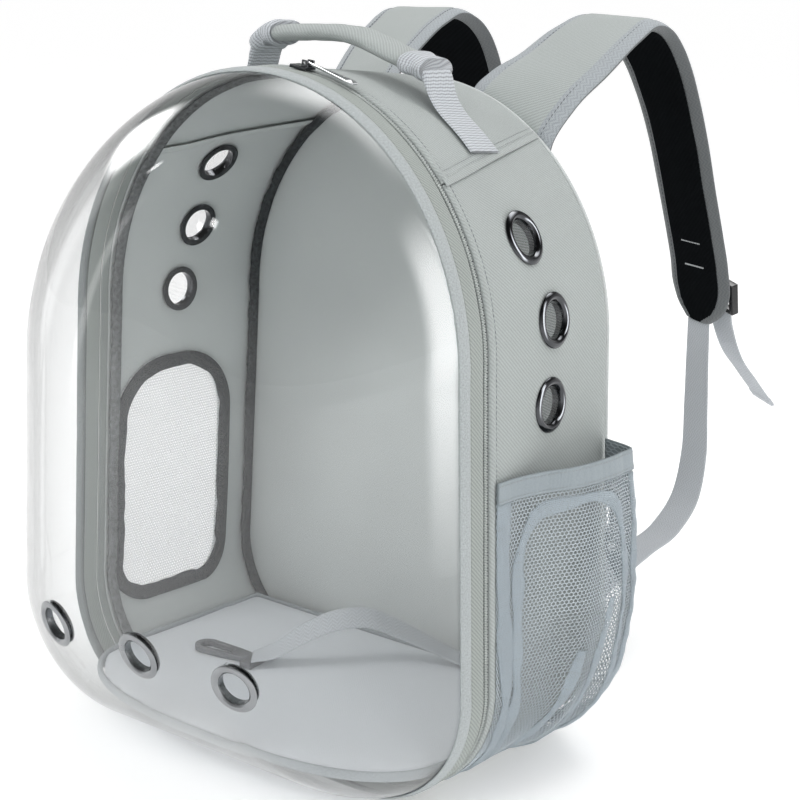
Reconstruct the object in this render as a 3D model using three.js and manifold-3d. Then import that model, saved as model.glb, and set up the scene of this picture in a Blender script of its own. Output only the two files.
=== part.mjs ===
// Pet carrier backpack: a soft fabric body with a clear domed door, air holes, a mesh window, a mesh
// pocket, a carry handle and two shoulder straps. Millimetres, +Z up, the dome faces -Y and the wearer's
// back is on +Y. The origin is the middle of the underside, on the floor.

import * as THREE from 'three';
import { mergeVertices } from 'three/addons/utils/BufferGeometryUtils.js';
import Module from 'manifold-3d';

const wasm = await Module();
wasm.setup();

// Body outline, seen from the front
const BODY_WIDTH = 320;
const SHOULDER_NARROWING = 17;
const BODY_HEIGHT = 420;
const ARCH_RISE = 159;
const CORNER_RADIUS = 76;
const BACK_NARROWING = 12;
const BACK_LOWERING = 10;
const GUSSET_DEPTH = 135;

// Cloth and clearances
const CLOTH = 2;
const BACK_PAD = 4;
const GAP = 0.3;
const SEAT = 0.6;
const CORNER_EASE = 1.3;

// Door: clear dome, edge bead, fabric band and zipper
const DOME_DEPTH = 126;
const DOME_WALL = 1.5;
const DOME_CENTRE_HEIGHT = 200;
const DOME_FLATNESS = 1.92;
const DOME_FULLNESS = 3.125;
const PIPING_WIDTH = 8;
const PIPING_THICKNESS = 1.4;
const BAND_WIDTH = 12;
const BAND_THICKNESS = 1.4;
const COIL_WIDTH = 5.6;
const COIL_THICKNESS = 2;
const SLIDER_LENGTH = 12;
const SLIDER_WIDTH = 9;
const SLIDER_THICKNESS = 2;
const SLIDER_OFFSET = 17;
const LUG_THICKNESS = 1.4;
const LUG_LENGTH = 4.4;
const LUG_HEIGHT = 3.6;
const PIN_DIAMETER = 1.6;
const PULLER_LENGTH = 36;
const PULLER_WIDTH = 8;
const PULLER_NECK = 3;
const PULLER_THICKNESS = 1.2;
const PULLER_LIE_DEG = 9;

// Air holes
const DOME_RING = { hole: 10, barrel: 11, flange: 15, height: 1.8 };
const SIDE_RING = { hole: 11, barrel: 12.4, flange: 16.5, height: 2.6 };
const INNER_FLANGE_WIDTH = 2.6;
const INNER_FLANGE_THICKNESS = 1;
const CURVATURE_ALLOWANCE = 2;
const VENT_MESH_THICKNESS = 0.8;
const RING_SIDES = 12;
const DOME_VENT_SPACING = 72;
const DOME_VENT_HEIGHT = 95;

// Side air holes: place as shares of the body height and of the gusset depth from its middle
const SIDE_VENTS = {
  right: [
    { height: 0.785, depth: -0.065 },
    { height: 0.672, depth: 0.035 },
    { height: 0.556, depth: 0 },
  ],
  left: [
    { height: 0.838, depth: 0.02 },
    { height: 0.731, depth: 0.04 },
    { height: 0.626, depth: -0.03 },
  ],
};

// Seams between the top panel and the side panels, set in from the body's widest place
const TOP_SEAM_INSET_FRONT = 44;
const TOP_SEAM_INSET_BACK = 66;

// Window in the left wall
const WINDOW_WIDTH = 90;
const WINDOW_SILL = 54;
const WINDOW_HEIGHT = 158;
const WINDOW_MIDDLE = -8;
const WINDOW_FOOT_RADIUS = 22;
const WINDOW_HEAD_RADIUS = 38;
const WINDOW_LAP = 7;
const WINDOW_NET = 0.8;
const WINDOW_BINDING_THICKNESS = 2.5;

// Bound seam inside the back corner
const SEAM_BINDING_WIDTH = 6;
const SEAM_BINDING_THICKNESS = 3;

// Pocket on the right wall
const POCKET_TOP = 200;
const POCKET_BOTTOM = 12;
const POCKET_FRONT = -60;
const POCKET_BACK = 64;
const POCKET_BULGE = 31;
const POCKET_NET = 1;
const HEM_HEIGHT = 12;
const HEM_THICKNESS = 1.6;
const HEM_STAND = 0.78;
const PLEAT_COUNT = 4;
const PLEAT_DEPTH = 2.2;

// Floor mat
const MAT_UNDERSIDE = 25;
const MAT_THICKNESS = 8;
const MAT_BACK = 59;
const MAT_SHOULDER = -62;
const MAT_REACH = 74;
const MAT_SQUARENESS = 2.5;
const MAT_EDGE = 2;

// Leash inside
const LEASH_WIDTH = 15;
const LEASH_THICKNESS = 1.6;
const HOOK_LENGTH = 53;
const HOOK_WIDTH = 17;
const HOOK_BAR = 24;
const HOOK_BAR_WIDTH = 9;
const HOOK_NECK_LENGTH = 12;
const HOOK_EYE_CLEARANCE = 2;
const HOOK_END_WALL = 4;
const HOOK_SIDE_WALL = 3;
const HOOK_THICKNESS = 4;
const HOOK_PLACE = { x: -90, y: -45, turnDeg: 5 };

// Carry handle
const HANDLE_MIDDLE = -6;
const HANDLE_WEBBING_WIDTH = 28;
const HANDLE_WEBBING_THICKNESS = 2;
const HANDLE_FOOT_REACH = 64;
const GRIP_INSET = 96;
const GRIP_WIDTH = 30;
const GRIP_THICKNESS = 10;
const GRIP_RISE = 22;
const GRIP_SAG = 18;

// Shoulder straps
const STRAP_WIDTH = 67;
const STRAP_THICKNESS = 9;
const STRAP_ROOT_INSET = 92;
const STRAP_FLARE = 30;
const STRAP_ROOT_LOWERING = 35;
const STRAP_CREST = 59;
const STRAP_REACH = 218;
const STRAP_DROP = 212;
const STRAP_EDGE = 7;

// Adjusting webbing of the shoulder straps
const WEBBING_WIDTH = 25;
const WEBBING_THICKNESS = 1.6;
const WEBBING_ANCHOR_HEIGHT = 78;
const WEBBING_ANCHOR_INSET = 14;
const BUCKLE_WIDTH = 34;
const BUCKLE_LENGTH = 24;
const BUCKLE_THICKNESS = 6;
const BUCKLE_SHIFT = 12;
const TAIL_RUN = 82;
const TAIL_DROP = 84;

// Dents of the soft side panels: middle and spread as shares of the outline and of the depth, depth in mm
const DENTS = [
  { around: 0.388, along: 0.22, wide: 0.022, deep: 0.16, depth: 3 },
  { around: 0.392, along: 0.8, wide: 0.02, deep: 0.13, depth: 2 },
  { around: 0.2, along: 0.8, wide: 0.05, deep: 0.14, depth: 2 },
  { around: 0.612, along: 0.22, wide: 0.022, deep: 0.16, depth: 2.6 },
  { around: 0.8, along: 0.87, wide: 0.04, deep: 0.1, depth: 1.6 },
];

// Sizes and places that follow from the sizes above
const ARCH_WIDTH = BODY_WIDTH - SHOULDER_NARROWING;
const BACK_WIDTH = BODY_WIDTH - BACK_NARROWING;
const BACK_HEIGHT = BODY_HEIGHT - BACK_LOWERING;
const TOP_SEAM_FRONT = BODY_WIDTH / 2 - TOP_SEAM_INSET_FRONT;
const TOP_SEAM_BACK = BACK_WIDTH / 2 - TOP_SEAM_INSET_BACK;
const GRIP_TOP = BODY_HEIGHT + GRIP_RISE;
const GRIP_LENGTH = BODY_WIDTH - GRIP_INSET * 2;
const STRAP_ROOT_HEIGHT = BODY_HEIGHT - STRAP_ROOT_LOWERING;
const STRAP_ROOT_SPACING = BACK_WIDTH - STRAP_ROOT_INSET * 2;
const ZIP_Y = -GUSSET_DEPTH / 2;
const BACK_Y = GUSSET_DEPTH / 2;
const BACK_FACE = BACK_Y + GAP + BACK_PAD;
const COIL_FRONT = ZIP_Y - COIL_WIDTH / 2;
const COIL_BACK = ZIP_Y + COIL_WIDTH / 2;
const GUSSET_FRONT = COIL_BACK + GAP;
const BAND_BACK = COIL_FRONT - GAP;
const BAND_FRONT = BAND_BACK - BAND_WIDTH;
const DOOR_EDGE = BAND_FRONT - GAP;
const PIPING_FRONT = DOOR_EDGE - PIPING_WIDTH;
const WINDOW_NET_OUT = CLOTH + GAP + CORNER_EASE / 2;
const WINDOW_BINDING_OUT = WINDOW_NET_OUT + WINDOW_NET + SEAT;
const MAT_TOP = MAT_UNDERSIDE + MAT_THICKNESS;

const FABRIC = { color: 0xb6bcbb, roughness: 0.9, metalness: 0 };
const WEBBING = { color: 0xc3c8cd, roughness: 0.85, metalness: 0 };
const NET = { color: 0xd2d8dc, roughness: 0.9, metalness: 0 };
const DARK_NET = { color: 0x4c5150, roughness: 0.8, metalness: 0.1 };
const GUNMETAL = { color: 0x6c6c70, roughness: 0.25, metalness: 1 };
const CLEAR = { color: 0xdfe6e8, roughness: 0.08, metalness: 0, transparent: true, opacity: 0.3 };
const ZIPPER = { color: 0x8b918d, roughness: 0.7, metalness: 0 };
const CHROME = { color: 0xb4b6b8, roughness: 0.2, metalness: 1 };
const FUZZY = { color: 0x6f7373, roughness: 1, metalness: 0 };
const MAT = { color: 0xc9cdd2, roughness: 0.8, metalness: 0 };
const STRAP = { color: 0xb4bab9, roughness: 0.9, metalness: 0 };
const PLASTIC = { color: 0x8f9396, roughness: 0.5, metalness: 0 };
const BLACK_PLASTIC = { color: 0x1b1c1e, roughness: 0.45, metalness: 0 };

const { lerp, clamp, degToRad } = THREE.MathUtils;

const backpack = new THREE.Group();
backpack.name = 'pet_carrier_backpack';

function add(name, geometry, look) {
  const mesh = new THREE.Mesh(geometry, new THREE.MeshStandardMaterial(look));
  mesh.name = name;
  backpack.add(mesh);
  return mesh;
}

// Closed surfaces

function steps(count) {
  return Array.from({ length: count + 1 }, (_, index) => index / count);
}

function signedVolume(points, faces) {
  const corner = new THREE.Vector3();
  return faces.reduce((sum, [a, b, c]) => sum + points[a].dot(corner.crossVectors(points[b], points[c])), 0);
}

// Joins rings of equal length into one closed body. closing is 'loop' where the last ring meets the first,
// 'ladder' where the end rings close across themselves, or the two points that close the ends.
function skin(rings, closing) {
  const size = rings[0].length;
  const points = rings.flat();
  const faces = [];
  const last = closing === 'loop' ? rings.length : rings.length - 1;
  for (let row = 0; row < last; row += 1) {
    const here = row * size;
    const next = ((row + 1) % rings.length) * size;
    for (let index = 0; index < size; index += 1) {
      const side = (index + 1) % size;
      faces.push([here + index, here + side, next + side], [here + index, next + side, next + index]);
    }
  }
  const top = (rings.length - 1) * size;
  if (closing === 'ladder') {
    for (let index = 0; index < size / 2 - 1; index += 1) {
      const far = size - 1 - index;
      faces.push([index + 1, index, far], [index + 1, far, far - 1]);
      faces.push([top + index, top + index + 1, top + far], [top + index + 1, top + far - 1, top + far]);
    }
  } else if (closing !== 'loop') {
    points.push(...closing);
    for (let index = 0; index < size; index += 1) {
      const side = (index + 1) % size;
      faces.push([side, index, points.length - 2], [top + index, top + side, points.length - 1]);
    }
  }
  const outward = signedVolume(points, faces) > 0;
  const order = faces.flatMap(([a, b, c]) => (outward ? [a, b, c] : [a, c, b]));
  const geometry = new THREE.BufferGeometry();
  geometry.setAttribute('position', new THREE.Float32BufferAttribute(points.flatMap((p) => p.toArray()), 3));
  geometry.setIndex(order);
  geometry.computeVertexNormals();
  return geometry;
}

// A thin wall whose section at each step runs along the outside and back along the inside
function wall(rows, columns, outside, inside) {
  const sections = steps(rows).map((row) => {
    const out = steps(columns).map((column) => outside(row, column));
    const back = steps(columns).reverse().map((column) => inside(row, column));
    return [...out, ...back];
  });
  return skin(sections, 'ladder');
}

function toSolid(geometry) {
  const bare = geometry.clone();
  bare.deleteAttribute('normal');
  bare.deleteAttribute('uv');
  const merged = mergeVertices(bare, 1e-4);
  return new wasm.Manifold(new wasm.Mesh({
    numProp: 3,
    vertProperties: new Float32Array(merged.attributes.position.array),
    triVerts: new Uint32Array(merged.index.array),
  }));
}

function fromSolid(solid) {
  const mesh = solid.getMesh();
  const geometry = new THREE.BufferGeometry();
  geometry.setAttribute('position', new THREE.Float32BufferAttribute(mesh.vertProperties, 3));
  geometry.setIndex([...mesh.triVerts]);
  geometry.computeVertexNormals();
  return geometry;
}

function cut(geometry, cutters) {
  return fromSolid(cutters.reduce((solid, cutter) => solid.subtract(toSolid(cutter)), toSolid(geometry)));
}

function join(geometries) {
  return fromSolid(geometries.slice(1).reduce((solid, next) => solid.add(toSolid(next)), toSolid(geometries[0])));
}

// Turns a piece made round +Y so that +Y points along the frame's normal, and moves it there
function seatOn(geometry, frame) {
  const turn = new THREE.Quaternion().setFromUnitVectors(new THREE.Vector3(0, 1, 0), frame.normal);
  return geometry.applyQuaternion(turn).translate(frame.point.x, frame.point.y, frame.point.z);
}

function surfaceFrame(pointAt, around, along, step) {
  const point = pointAt(around, along);
  const sideways = pointAt(around + 1e-4, along).sub(pointAt(around - 1e-4, along));
  const onward = pointAt(around, along + step).sub(pointAt(around, along - step));
  return { point, normal: sideways.cross(onward).normalize() };
}

// Body outline: from the middle of the base to the right, up, over the arch and back, 0 to 1 by length
function bodyOutline() {
  const half = BODY_WIDTH / 2;
  const flat = half - CORNER_RADIUS;
  const spring = BODY_HEIGHT - ARCH_RISE;
  const path = new THREE.Path();
  path.moveTo(0, 0);
  path.lineTo(flat, 0);
  path.absarc(flat, CORNER_RADIUS, CORNER_RADIUS, -Math.PI / 2, 0, false);
  path.lineTo(ARCH_WIDTH / 2, spring);
  path.absellipse(0, spring, ARCH_WIDTH / 2, ARCH_RISE, 0, Math.PI, false);
  path.lineTo(-half, CORNER_RADIUS);
  path.absarc(-flat, CORNER_RADIUS, CORNER_RADIUS, Math.PI, Math.PI * 1.5, false);
  path.lineTo(0, 0);
  return path;
}

const OUTLINE = bodyOutline();
const OUTLINE_LENGTH = OUTLINE.getLength();
const BASE_SHARE = (BODY_WIDTH / 2 - CORNER_RADIUS) / OUTLINE_LENGTH;

function outlineFrame(around) {
  const share = ((around % 1) + 1) % 1;
  const point = OUTLINE.getPoint(share);
  const before = OUTLINE.getPoint(Math.max(share - 1e-4, 0));
  const after = OUTLINE.getPoint(Math.min(share + 1e-4, 1));
  const along = after.sub(before).normalize();
  return { x: point.x, z: point.y, outX: along.y, outZ: -along.x };
}

function dentDepth(around, along) {
  return DENTS.reduce((sum, dent) => {
    const sideways = (around - dent.around) / dent.wide;
    const onward = (along - dent.along) / dent.deep;
    return sum + dent.depth * Math.exp(-(sideways ** 2) - onward ** 2);
  }, 0) * Math.sin(Math.PI * clamp(along, 0, 1)) ** 0.5;
}

function taper(y) {
  const share = clamp((y - ZIP_Y) / GUSSET_DEPTH, 0, 1);
  return { share, wide: lerp(1, BACK_WIDTH / BODY_WIDTH, share), tall: lerp(1, BACK_HEIGHT / BODY_HEIGHT, share) };
}

function bodyPoint(around, y, offset = 0) {
  const at = outlineFrame(around);
  const { share, wide, tall } = taper(y);
  const lift = offset - (share > 0 ? dentDepth(around, share) : 0);
  return new THREE.Vector3(at.x * wide + at.outX * lift, y, at.z * tall + at.outZ * lift);
}

// Share of the outline on the right-hand side where it reaches this height, on the section at y
function shareAtHeight(height, y = ZIP_Y) {
  const wanted = height / taper(y).tall;
  let low = BASE_SHARE;
  let high = 0.5;
  for (let turn = 0; turn < 40; turn += 1) {
    const middle = (low + high) / 2;
    if (OUTLINE.getPoint(middle).y < wanted) {
      low = middle;
    } else {
      high = middle;
    }
  }
  return (low + high) / 2;
}

function archHeight(halfWidth) {
  const share = clamp(halfWidth / (ARCH_WIDTH / 2), -1, 1);
  return BODY_HEIGHT - ARCH_RISE + ARCH_RISE * Math.sqrt(1 - share * share);
}

function bodyFrame(around, y) {
  const frame = surfaceFrame((share, depth) => bodyPoint(share, depth), around, y, 0.5);
  frame.normal.negate();
  return frame;
}

// Dome: the outline shrinks about a centre line as the depth from the zipper grows
function domeScale(depth) {
  return (1 - (depth / DOME_DEPTH) ** DOME_FLATNESS) ** (1 / DOME_FULLNESS);
}

function domeDepth(scale) {
  return DOME_DEPTH * (1 - scale ** DOME_FULLNESS) ** (1 / DOME_FLATNESS);
}

function domeSkin(around, depth) {
  const at = outlineFrame(around);
  const scale = domeScale(depth);
  const height = DOME_CENTRE_HEIGHT + (at.z - DOME_CENTRE_HEIGHT) * scale;
  return new THREE.Vector3(at.x * scale, ZIP_Y - depth, height);
}

function domeFrame(around, depth) {
  return surfaceFrame(domeSkin, around, depth, 0.05);
}

function domePoint(around, depth, offset) {
  const frame = domeFrame(around, depth);
  return frame.point.addScaledVector(frame.normal, offset);
}

const RIM_STEPS = 48;
const AROUND = steps(RIM_STEPS).slice(0, RIM_STEPS);
const RIM_DEPTH = ZIP_Y - DOOR_EDGE;

// Rings: flange outside, barrel through the wall, flange inside
function ringGeometry(size, wallThickness) {
  const inner = -(wallThickness + CURVATURE_ALLOWANCE);
  const lip = size.barrel + INNER_FLANGE_WIDTH;
  const profile = [
    [size.hole, size.height * 0.4],
    [size.hole, inner - INNER_FLANGE_THICKNESS],
    [lip, inner - INNER_FLANGE_THICKNESS],
    [lip, inner],
    [size.barrel, inner],
    [size.barrel, GAP],
    [size.flange, GAP],
    [size.flange - 1, size.height * 0.85],
    [size.barrel, size.height],
    [size.hole, size.height * 0.4],
  ].map(([radius, height]) => new THREE.Vector2(radius, height));
  const ring = new THREE.LatheGeometry(profile, RING_SIDES);
  ring.deleteAttribute('normal');
  ring.deleteAttribute('uv');
  const closed = mergeVertices(ring, 1e-4);
  closed.computeVertexNormals();
  return closed;
}

function holeCutter(size, frame) {
  const radius = size.barrel + GAP;
  return seatOn(new THREE.CylinderGeometry(radius, radius, 40, RING_SIDES), frame);
}

// Dome with its three air holes
function domeVentFrames() {
  const places = [-DOME_VENT_SPACING, 0, DOME_VENT_SPACING];
  return places.map((x) => {
    const fall = DOME_CENTRE_HEIGHT - DOME_VENT_HEIGHT;
    const wanted = Math.atan2(Math.abs(x), fall);
    let low = 0;
    let high = 0.5;
    for (let turn = 0; turn < 40; turn += 1) {
      const middle = (low + high) / 2;
      const at = OUTLINE.getPoint(middle);
      if (Math.atan2(at.x, DOME_CENTRE_HEIGHT - at.y) < wanted) {
        low = middle;
      } else {
        high = middle;
      }
    }
    const rim = OUTLINE.getPoint(low);
    const scale = Math.hypot(x, fall) / Math.hypot(rim.x, DOME_CENTRE_HEIGHT - rim.y);
    return domeFrame(x < 0 ? 1 - low : low, domeDepth(scale));
  });
}

function domeDepths() {
  const start = Math.asin((RIM_DEPTH / DOME_DEPTH) ** (DOME_FLATNESS / 2));
  return steps(9).slice(0, 9).map((share) => {
    const angle = lerp(start, Math.PI / 2, share ** 0.92);
    return DOME_DEPTH * Math.sin(angle) ** (2 / DOME_FLATNESS);
  });
}

function domeShell() {
  const depths = domeDepths();
  const ring = (depth, offset) => AROUND.map((around) => {
    const point = domePoint(around, depth, offset);
    return depth === depths[0] ? point.setY(DOOR_EDGE) : point;
  });
  const outer = [...depths].reverse().map((depth) => ring(depth, 0));
  const inner = depths.map((depth) => ring(depth, -DOME_WALL));
  const pole = new THREE.Vector3(0, ZIP_Y - DOME_DEPTH, DOME_CENTRE_HEIGHT);
  return skin([...outer, ...inner], [pole, pole.clone().setY(pole.y + DOME_WALL)]);
}

function buildDome() {
  const frames = domeVentFrames();
  add('dome_shell', cut(domeShell(), frames.map((frame) => holeCutter(DOME_RING, frame))), CLEAR);
  frames.forEach((frame, index) => {
    add(`dome_vent_ring_${index + 1}`, seatOn(ringGeometry(DOME_RING, DOME_WALL), frame), GUNMETAL);
  });
}

// Bead, band and coil run all round the door
function doorPiping() {
  const front = ZIP_Y - PIPING_FRONT;
  const middle = (RIM_DEPTH + front) / 2;
  const sections = AROUND.map((around) => [
    domePoint(around, RIM_DEPTH, GAP).setY(DOOR_EDGE),
    domePoint(around, front, GAP),
    domePoint(around, front - 0.6, GAP + PIPING_THICKNESS * 0.6),
    domePoint(around, middle, GAP + PIPING_THICKNESS),
    bodyPoint(around, DOOR_EDGE),
  ]);
  return skin(sections, 'loop');
}

function hoop(front, back, outer, inner) {
  return skin(AROUND.map((around) => [
    bodyPoint(around, front, outer),
    bodyPoint(around, back, outer),
    bodyPoint(around, back, inner),
    bodyPoint(around, front, inner),
  ]), 'loop');
}

function buildDoorEdge() {
  add('door_piping', doorPiping(), WEBBING);
  add('door_band', hoop(BAND_FRONT, BAND_BACK, 0, -BAND_THICKNESS), FABRIC);
  add('zipper_coil', hoop(COIL_FRONT, COIL_BACK, -GAP, -GAP - COIL_THICKNESS), ZIPPER);
}

// Slider on the coil near the top, with a pull tab that swings on its pin
function sliderFrame() {
  const around = shareAtHeight(archHeight(SLIDER_OFFSET));
  const here = bodyPoint(around, ZIP_Y);
  const along = bodyPoint(around - 0.002, ZIP_Y).sub(bodyPoint(around + 0.002, ZIP_Y)).normalize();
  const out = new THREE.Vector3(-along.z, 0, along.x);
  return new THREE.Matrix4().makeBasis(along, new THREE.Vector3(0, 1, 0), out).setPosition(here);
}

function pinHeight() {
  return GAP + SLIDER_THICKNESS + LUG_HEIGHT - PIN_DIAMETER;
}

function zipSlider() {
  const plate = new THREE.BoxGeometry(SLIDER_LENGTH, SLIDER_WIDTH, SLIDER_THICKNESS);
  plate.translate(0, 0, GAP + SLIDER_THICKNESS / 2);
  const lugs = [-1, 1].map((side) => {
    const lug = new THREE.BoxGeometry(LUG_LENGTH, LUG_THICKNESS, LUG_HEIGHT);
    const across = side * (PULLER_NECK / 2 + GAP + LUG_THICKNESS / 2);
    return lug.translate(SLIDER_LENGTH / 2 - LUG_LENGTH / 2, across, GAP + SLIDER_THICKNESS + LUG_HEIGHT / 2 - 0.05);
  });
  const bore = new THREE.CylinderGeometry(PIN_DIAMETER / 2 + GAP, PIN_DIAMETER / 2 + GAP, SLIDER_WIDTH, 12);
  bore.translate(SLIDER_LENGTH / 2 - LUG_LENGTH / 2, 0, pinHeight());
  return cut(join([plate, ...lugs]), [bore]);
}

function zipPuller() {
  const tab = new THREE.Shape();
  tab.moveTo(-PIN_DIAMETER / 2, -PULLER_NECK / 2);
  tab.lineTo(PULLER_LENGTH * 0.25, -PULLER_NECK / 2);
  tab.lineTo(PULLER_LENGTH * 0.9, -PULLER_WIDTH / 2);
  tab.lineTo(PULLER_LENGTH, -PULLER_WIDTH / 4);
  tab.lineTo(PULLER_LENGTH, PULLER_WIDTH / 4);
  tab.lineTo(PULLER_LENGTH * 0.9, PULLER_WIDTH / 2);
  tab.lineTo(PULLER_LENGTH * 0.25, PULLER_NECK / 2);
  tab.lineTo(-PIN_DIAMETER / 2, PULLER_NECK / 2);
  const slot = new THREE.Path();
  slot.moveTo(PULLER_LENGTH * 0.35, 0);
  slot.lineTo(PULLER_LENGTH * 0.85, PULLER_WIDTH / 4);
  slot.lineTo(PULLER_LENGTH * 0.85, -PULLER_WIDTH / 4);
  tab.holes.push(slot);
  const plate = new THREE.ExtrudeGeometry(tab, { depth: PULLER_THICKNESS, bevelEnabled: false });
  plate.translate(0, 0, -PULLER_THICKNESS / 2);
  const pinLength = PULLER_NECK + 2 * GAP + 2 * LUG_THICKNESS;
  const pin = new THREE.CylinderGeometry(PIN_DIAMETER / 2, PIN_DIAMETER / 2, pinLength, 12);
  return join([plate, pin]);
}

function buildSlider() {
  const frame = sliderFrame();
  add('zip_slider', zipSlider().applyMatrix4(frame), GUNMETAL);
  const lie = new THREE.Matrix4().makeRotationY(degToRad(PULLER_LIE_DEG));
  lie.setPosition(SLIDER_LENGTH / 2 - LUG_LENGTH / 2, 0, pinHeight());
  add('zip_puller', zipPuller().applyMatrix4(lie).applyMatrix4(frame), CHROME);
}

// Gusset panels
function gussetPanel(rows, columns, from, to) {
  const place = (row, column, offset) => {
    const y = lerp(GUSSET_FRONT, BACK_Y, column);
    return bodyPoint(lerp(from(column), to(column), row), y, offset);
  };
  return wall(rows, columns, (row, column) => place(row, column, 0), (row, column) => place(row, column, -CLOTH));
}

const HALF_GAP_SHARE = GAP / OUTLINE_LENGTH;

function topSeamShare(along) {
  const front = shareAtHeight(archHeight(TOP_SEAM_FRONT));
  const back = shareAtHeight(archHeight(TOP_SEAM_BACK * BODY_WIDTH / BACK_WIDTH));
  return lerp(front, back, along);
}

// The side panels mirror each other, so the left one counts its shares back from the end of the outline
function sidePanel(side) {
  const mirrored = (share) => (side === 'left' ? 1 - share : share);
  const from = () => mirrored(BASE_SHARE + HALF_GAP_SHARE);
  return gussetPanel(18, 5, from, (along) => mirrored(topSeamShare(along) - HALF_GAP_SHARE));
}

function sideVentFrames(side) {
  return SIDE_VENTS[side].map((vent) => {
    const y = vent.depth * GUSSET_DEPTH;
    const share = shareAtHeight(vent.height * BODY_HEIGHT, y);
    return bodyFrame(side === 'left' ? 1 - share : share, y);
  });
}

function buildSideVents(side) {
  sideVentFrames(side).forEach((frame, index) => {
    add(`side_vent_ring_${side}_${index + 1}`, seatOn(ringGeometry(SIDE_RING, CLOTH), frame), GUNMETAL);
    const radius = SIDE_RING.hole - 2 * GAP;
    const disc = new THREE.CylinderGeometry(radius, radius, VENT_MESH_THICKNESS, RING_SIDES);
    disc.translate(0, -CLOTH / 2, 0);
    add(`side_vent_mesh_${side}_${index + 1}`, seatOn(disc, frame), DARK_NET);
  });
}

function buildGusset() {
  const top = gussetPanel(14, 4, (along) => topSeamShare(along) + HALF_GAP_SHARE,
    (along) => 1 - topSeamShare(along) - HALF_GAP_SHARE);
  add('top_panel', top, FABRIC);
  const rightHoles = sideVentFrames('right').map((frame) => holeCutter(SIDE_RING, frame));
  add('side_panel_right', cut(sidePanel('right'), rightHoles), FABRIC);
  const leftHoles = sideVentFrames('left').map((frame) => holeCutter(SIDE_RING, frame));
  add('side_panel_left', cut(sidePanel('left'), [...leftHoles, windowCutter()]), FABRIC);
  add('base_panel', gussetPanel(4, 2, () => -BASE_SHARE, () => BASE_SHARE), FABRIC);
  buildSideVents('right');
  buildSideVents('left');
}

function backPanel() {
  const ring = (y, offset) => AROUND.map((around) => bodyPoint(around, BACK_Y, offset).setY(y));
  const middle = BACK_HEIGHT / 2;
  const front = BACK_Y + GAP;
  return skin([ring(front, 0), ring(BACK_FACE - 1.5, 0), ring(BACK_FACE, -1.5)],
    [new THREE.Vector3(0, front, middle), new THREE.Vector3(0, BACK_FACE, middle)]);
}

function buildBack() {
  add('back_panel', backPanel(), FABRIC);
  const outer = -CLOTH - GAP - CORNER_EASE;
  add('seam_binding', hoop(BACK_Y - SEAM_BINDING_WIDTH, BACK_Y, outer, outer - SEAM_BINDING_THICKNESS), FUZZY);
}

// Window in the left wall: a loop in depth and height, laid on the wall
function windowLoop(grow) {
  const left = -WINDOW_WIDTH / 2 - grow;
  const right = -left;
  const foot = -grow;
  const head = WINDOW_HEIGHT + grow;
  const low = WINDOW_FOOT_RADIUS + grow;
  const high = WINDOW_HEAD_RADIUS + grow;
  const path = new THREE.Path();
  path.moveTo(left + low, foot);
  path.lineTo(right - low, foot);
  path.absarc(right - low, foot + low, low, -Math.PI / 2, 0, false);
  path.lineTo(right, head - high);
  path.absarc(right - high, head - high, high, 0, Math.PI / 2, false);
  path.lineTo(left + high, head);
  path.absarc(left + high, head - high, high, Math.PI / 2, Math.PI, false);
  path.lineTo(left, foot + low);
  path.absarc(left + low, foot + low, low, Math.PI, Math.PI * 1.5, false);
  return path.getSpacedPoints(26).slice(0, 26);
}

function leftWallPoint(y, height, offset) {
  return bodyPoint(1 - shareAtHeight(height, y), y, offset);
}

function windowRing(grow, scale, offset) {
  const middle = WINDOW_HEIGHT / 2;
  return windowLoop(grow).map((at) => {
    const height = WINDOW_SILL + middle + (at.y - middle) * scale;
    return leftWallPoint(WINDOW_MIDDLE + at.x * scale, height, offset);
  });
}

function windowSheet(rows, outer, inner) {
  const centre = (offset) => leftWallPoint(WINDOW_MIDDLE, WINDOW_SILL + WINDOW_HEIGHT / 2, offset);
  const out = rows.map((row) => windowRing(row.grow, row.scale, outer));
  const back = [...rows].reverse().map((row) => windowRing(row.grow, row.scale, inner));
  return skin([...out, ...back], [centre(outer), centre(inner)]);
}

function windowCutter() {
  return windowSheet([{ grow: 0, scale: 0.5 }, { grow: 0, scale: 1 }], 12, -12);
}

function buildWindow() {
  const sheet = [{ grow: 0, scale: 0.5 }, { grow: -1, scale: 1 }, { grow: WINDOW_LAP, scale: 1 }];
  add('window_mesh', windowSheet(sheet, -WINDOW_NET_OUT, -WINDOW_NET_OUT - WINDOW_NET), NET);
  const rows = [
    { grow: -1, out: 0 },
    { grow: WINDOW_LAP, out: 0 },
    { grow: WINDOW_LAP - 1, out: WINDOW_BINDING_THICKNESS * 0.7 },
    { grow: WINDOW_LAP / 2 - 0.5, out: WINDOW_BINDING_THICKNESS },
    { grow: 0, out: WINDOW_BINDING_THICKNESS * 0.7 },
  ].map((row) => windowRing(row.grow, 1, -WINDOW_BINDING_OUT - row.out));
  add('window_binding', skin(rows, 'loop'), FUZZY);
}

// Pocket on the right wall: it swells from its front seam to near its back seam and stands open at the
// hem. Swell as a share of the bulge, along the wall and down from the hem.
const SWELL_ALONG = [
  { at: 0, swell: 0 },
  { at: 0.15, swell: 0.08 },
  { at: 0.3, swell: 0.34 },
  { at: 0.45, swell: 0.72 },
  { at: 0.6, swell: 0.92 },
  { at: 0.8, swell: 1 },
  { at: 0.93, swell: 0.84 },
  { at: 1, swell: 0 },
];
const SWELL_DOWN = [
  { at: 0, swell: HEM_STAND },
  { at: 0.2, swell: 0.96 },
  { at: 0.4, swell: 1 },
  { at: 0.6, swell: 0.86 },
  { at: 0.75, swell: 0.6 },
  { at: 0.88, swell: 0.34 },
  { at: 1, swell: 0 },
];

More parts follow.
